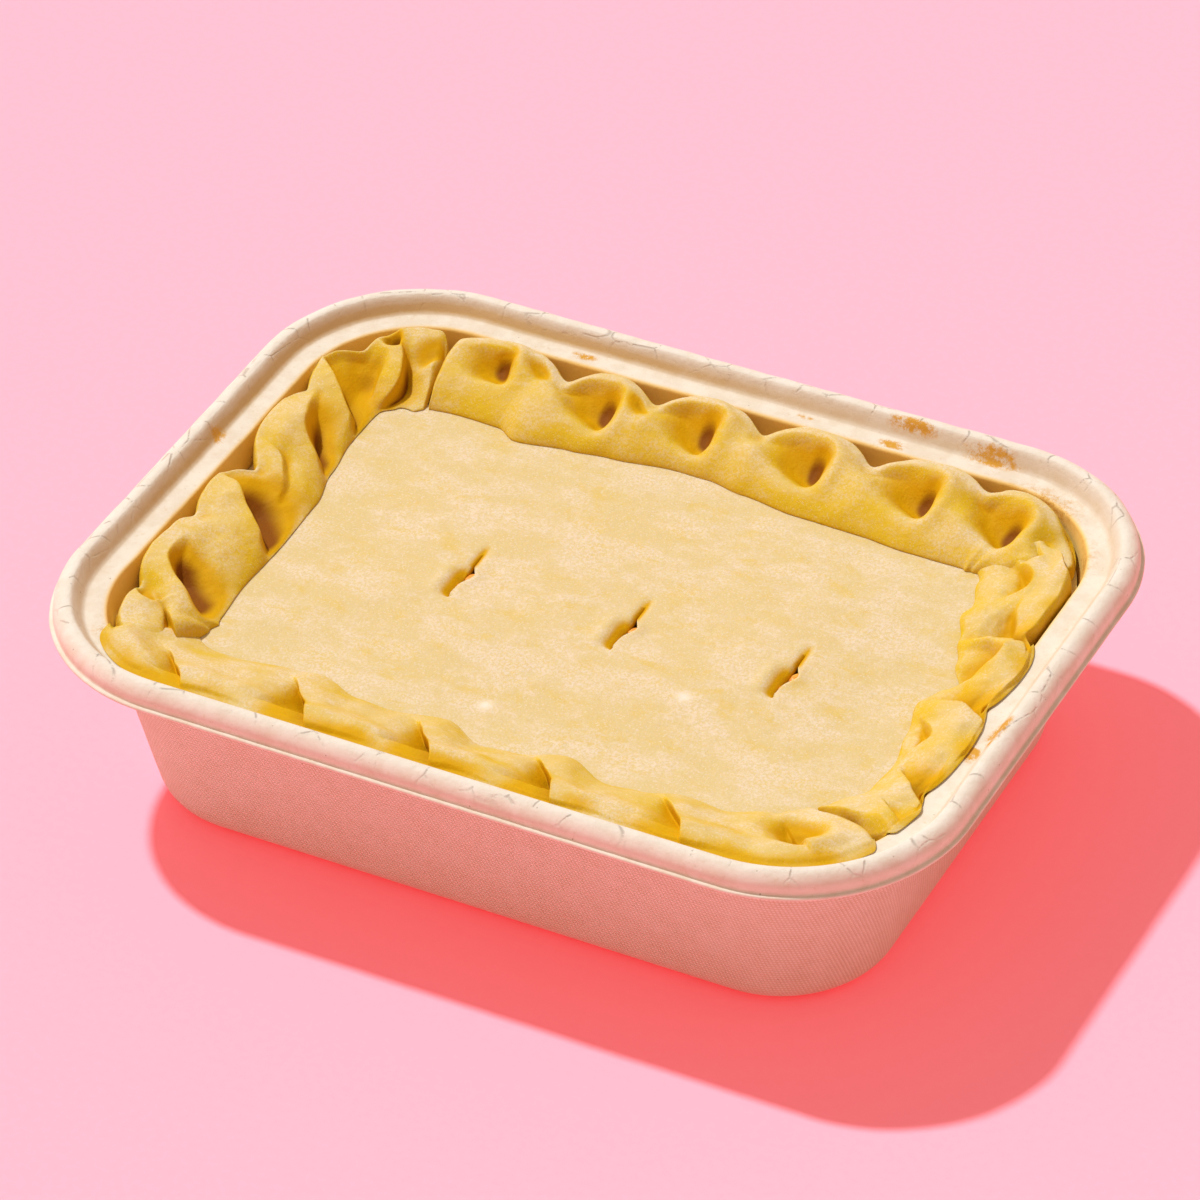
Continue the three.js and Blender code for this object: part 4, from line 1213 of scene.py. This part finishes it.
RIGHT_RUN = dict(
    span=(104.2, 227.5), middle=160.3, sign=1, taper=(3.5, 4.0), bow=(2.5, 0.0), swell=0.6,
    soft=3, least=0.5, edge=0.09, shoulder=0.30, power=1.5, blunt=0.65, ridge=6.8, band=4.0,
    foot=0.95, rim=0.8, ease=4.5, clean=0.0, gilt=0.25, sway=0.6, bare=0.46,
    height=((-56, 6.4), (-50, 7.4), (-40, 6.6), (-20, 8.4), (-9, 7.0), (8, 8.8), (21, 7.0), (32, 8.8),
            (40, 8.6), (50, 9.4), (62, 2.5)),
    outer=((-56, -1.0), (-49, -1.6), (-39, 0.6), (-22, -2.6), (-6, 0.4), (10, -2.6), (22, 2.6), (38, 0.6),
           (47, 1.6), (60, 5.0), (68, 6.5)),
    inner=((-56, 22.0), (-45, 20.0), (-36, 14.0), (-25, 13.0), (-14, 15.0), (-3, 17.5), (3, 15.0), (6, 11.5),
           (14, 15.5), (22, 18.5), (31, 22.0), (35, 21.0), (43, 23.5), (68, 24.0)),
    folds=[
        fold([(88.0, 37.6, 0.3, 1.2), (90.2, 40.4, 0.8, 3.2), (89.8, 43.8, 0.9, 3.6),
              (87.4, 46.6, 0.6, 2.6), (84.0, 48.4, 0.2, 0.8)],
             steep=1.3, gentle=4.5, back=4.0, lean=0.8),
        fold([(87.2, 49.6, 0.0, 0.8), (88.4, 51.2, 0.2, 1.8), (87.4, 53.0, 0.0, 0.8)],
             steep=0.9, gentle=1.4, back=1.5, lean=0.3),
        fold([(96.3, 21.4, 0.3, 2.4), (94.8, 24.0, 0.5, 3.4), (93.3, 27.6, 0.5, 3.2),
              (92.0, 31.2, 0.4, 2.0), (91.0, 35.5, 0.0, 0.3)],
             steep=1.0, gentle=5.5, back=3.0, lean=0.8),
        fold([(99.6, 37.6, 0.0, 1.0), (99.4, 31.0, 0.4, 2.4), (98.8, 26.4, 0.4, 3.0),
              (97.4, 22.8, 0.3, 2.8), (96.0, 20.6, 0.0, 1.0)],
             steep=1.0, gentle=2.2, back=2.0, lean=0.6),
        fold([(84.6, 20.4, 0.4, 0.8), (88.3, 19.8, 0.8, 3.0), (91.8, 20.0, 1.0, 4.6),
              (95.3, 18.8, 1.0, 4.6), (98.6, 16.6, 0.6, 3.2), (100.4, 13.5, 0.0, 1.0)],
             steep=1.5, gentle=7.0, back=3.0, lean=1.0),
        fold([(90.6, 3.0, 0.2, 0.8), (93.0, 6.8, 0.9, 3.8), (95.8, 11.2, 1.2, 5.2),
              (95.8, 15.4, 1.2, 5.0), (92.4, 18.6, 0.8, 2.6), (88.0, 19.4, 0.4, 1.0)],
             steep=2.0, gentle=6.5, back=4.0, lean=1.2, gold_and_shade=0.8, shade_brown=0.7),
        fold([(85.6, -4.2, 0.4, 0.8), (90.0, -6.6, 0.9, 3.8), (94.8, -8.0, 1.0, 5.2),
              (99.0, -10.4, 0.7, 5.2), (103.6, -14.0, 0.0, 2.5)],
             steep=1.5, gentle=8.0, back=4.0, lean=1.4, gold_and_shade=0.75, shade_brown=0.8),
        fold([(90.4, -21.6, 0.2, 0.5), (92.2, -18.0, 0.5, 2.6), (90.9, -14.4, 0.5, 2.6),
              (88.0, -11.2, 0.2, 0.6)], steep=0.9, gentle=3.0, back=3.0, lean=0.6, shade_brown=0.7),
        fold([(89.6, -30.0, 0.2, 0.8, 0.6), (92.4, -35.4, 0.8, 4.0, 0.9), (95.8, -39.6, 1.0, 6.0, 1.0),
              (99.0, -43.4, 0.8, 6.0, 1.0), (103.0, -48.0, 0.2, 3.0, 0.7)],
             steep=1.7, gentle=11.0, back=3.5, lean=1.8, gold_and_shade=1.0, shade_brown=1.3),
        fold([(92.0, -44.0, 0.0, 0.5), (95.0, -47.0, 0.3, 1.6), (98.6, -49.0, 0.2, 1.6)],
             steep=1.0, gentle=3.5, back=2.5, lean=0.4, shade_brown=0.3),
    ],
)


# ---------------------------------------------------------------- filling bits

def make_bits(material):
    """Carrot dice under the slits: cubes swollen by raising a sphere's directions to a power."""
    places = [(x + dx, y + dy) for dx, dy in BIT_PLACES for x, y in SLITS]
    turn = np.linspace(0, 2 * math.pi, BIT_POINTS[0], endpoint=False)[None, :]
    rise = np.linspace(-math.pi / 2, math.pi / 2, BIT_POINTS[1])[1:-1, None]
    ball = np.stack((np.cos(rise) * np.cos(turn), np.cos(rise) * np.sin(turn),
                     np.sin(rise) + 0 * turn), axis=-1)
    cube = np.sign(ball) * np.abs(ball) ** 0.72
    rows, around = ball.shape[:2]
    points, quads, caps = [], [], []
    first = 0
    rng = np.random.default_rng(5)
    for x, y in places:
        size = np.array(BIT_SIZE) * rng.uniform(0.85, 1.1, 3)
        spin = rng.uniform(-0.5, 0.5)
        body = cube * size
        body = body + 0.15 * noise(body, 1.2, int(first) + 31)[..., None] * ball
        turned_x = body[..., 0] * math.cos(spin) - body[..., 1] * math.sin(spin)
        turned_y = body[..., 0] * math.sin(spin) + body[..., 1] * math.cos(spin)
        moved = np.stack((turned_x + x, turned_y + y, body[..., 2] + BIT_MIDDLE), axis=-1)
        hubs = np.array([[x, y, BIT_MIDDLE - size[2]], [x, y, BIT_MIDDLE + size[2]]])
        points.append(np.concatenate((moved.reshape(-1, 3), hubs)))
        sides, ends = capped_faces(rows, around, first)
        quads.append(sides)
        caps.append(ends)
        first += rows * around + 2
    bits = mesh_object("carrot_dice", np.concatenate(points),
                       (np.concatenate(quads), np.concatenate(caps)), material)
    return add_piece(bits, "filling")


# ---------------------------------------------------------------- stage

def make_camera():
    """The camera looks at the target along the view's azimuth and elevation, rolled a little."""
    azimuth, elevation, roll = (math.radians(v) for v in (VIEW_AZIMUTH, VIEW_ELEVATION, VIEW_ROLL))
    back = np.array([math.sin(azimuth) * math.cos(elevation),
                     -math.cos(azimuth) * math.cos(elevation), math.sin(elevation)])
    right = np.array([math.cos(azimuth), math.sin(azimuth), 0.0])
    up = np.cross(back, right)
    right, up = (math.cos(roll) * right + math.sin(roll) * up,
                 math.cos(roll) * up - math.sin(roll) * right)
    place = np.array(VIEW_TARGET) + back * VIEW_DISTANCE
    data = bpy.data.cameras.new("view")
    data.lens = VIEW_LENS
    data.sensor_width = 36.0
    data.clip_start = 0.05
    data.clip_end = 20.0
    camera = bpy.data.objects.new("view", data)
    bpy.context.scene.collection.objects.link(camera)
    matrix = np.eye(4)
    matrix[:3, 0], matrix[:3, 1], matrix[:3, 2], matrix[:3, 3] = right, up, back, place
    camera.matrix_world = Matrix(matrix)
    bpy.context.scene.camera = camera


def make_stage():
    """A wide floor, a key light and a soft sky that blends from its horizon to its zenith."""
    corners = ((-1, -1, 0), (1, -1, 0), (1, 1, 0), (-1, 1, 0))
    points = np.array(corners) * FLOOR_HALF / MM
    floor = mesh_object("floor", points, (np.array([[0, 1, 2, 3]]),), floor_material())
    sun = bpy.data.lights.new("key", "SUN")
    sun.energy = SUN_ENERGY
    sun.angle = math.radians(SUN_ANGLE)
    sun.color = SUN_COLOUR
    lamp = bpy.data.objects.new("key", sun)
    bpy.context.scene.collection.objects.link(lamp)
    toward = np.array(SUN_TOWARD)
    side = np.cross([0, 1, 0], toward)
    side /= np.linalg.norm(side)
    matrix = np.eye(4)
    matrix[:3, 0], matrix[:3, 1], matrix[:3, 2] = side, np.cross(toward, side), toward
    matrix[:3, 3] = toward * 2.0
    lamp.matrix_world = Matrix(matrix)
    world = bpy.data.worlds.new("studio")
    world.use_nodes = True
    nodes, links = world.node_tree.nodes, world.node_tree.links
    parts = nodes.new("ShaderNodeSeparateXYZ")
    links.new(nodes.new("ShaderNodeTexCoord").outputs["Generated"], parts.inputs["Vector"])
    height = nodes.new("ShaderNodeMapRange")
    height.interpolation_type = "SMOOTHSTEP"
    height.inputs["From Min"].default_value = SKY_BLEND[0]
    height.inputs["From Max"].default_value = SKY_BLEND[1]
    links.new(parts.outputs["Z"], height.inputs["Value"])
    blend = nodes.new("ShaderNodeMix")
    blend.data_type = "RGBA"
    blend.inputs["A"].default_value = (*SKY_HORIZON, 1.0)
    blend.inputs["B"].default_value = (*SKY_ZENITH, 1.0)
    links.new(height.outputs["Result"], blend.inputs["Factor"])
    links.new(blend.outputs["Result"], nodes["Background"].inputs["Color"])
    bpy.context.scene.world = world
    bpy.context.scene.view_settings.view_transform = "Standard"


make_camera()
make_stage()
fibre = fibre_material()
pastry = pastry_material()
make_tray(fibre)
make_filling(filling_material())
make_bits(carrot_material())
make_lid(pastry)
crimp_run("back_roll", pastry, BACK_RUN, "crimp_back", 101)
crimp_run("left_folds", pastry, LEFT_RUN, "crimp_left", 201)
crimp_run("front_pinches", pastry, FRONT_RUN, "crimp_front", 301)
crimp_run("right_folds", pastry, RIGHT_RUN, "crimp_right", 401)
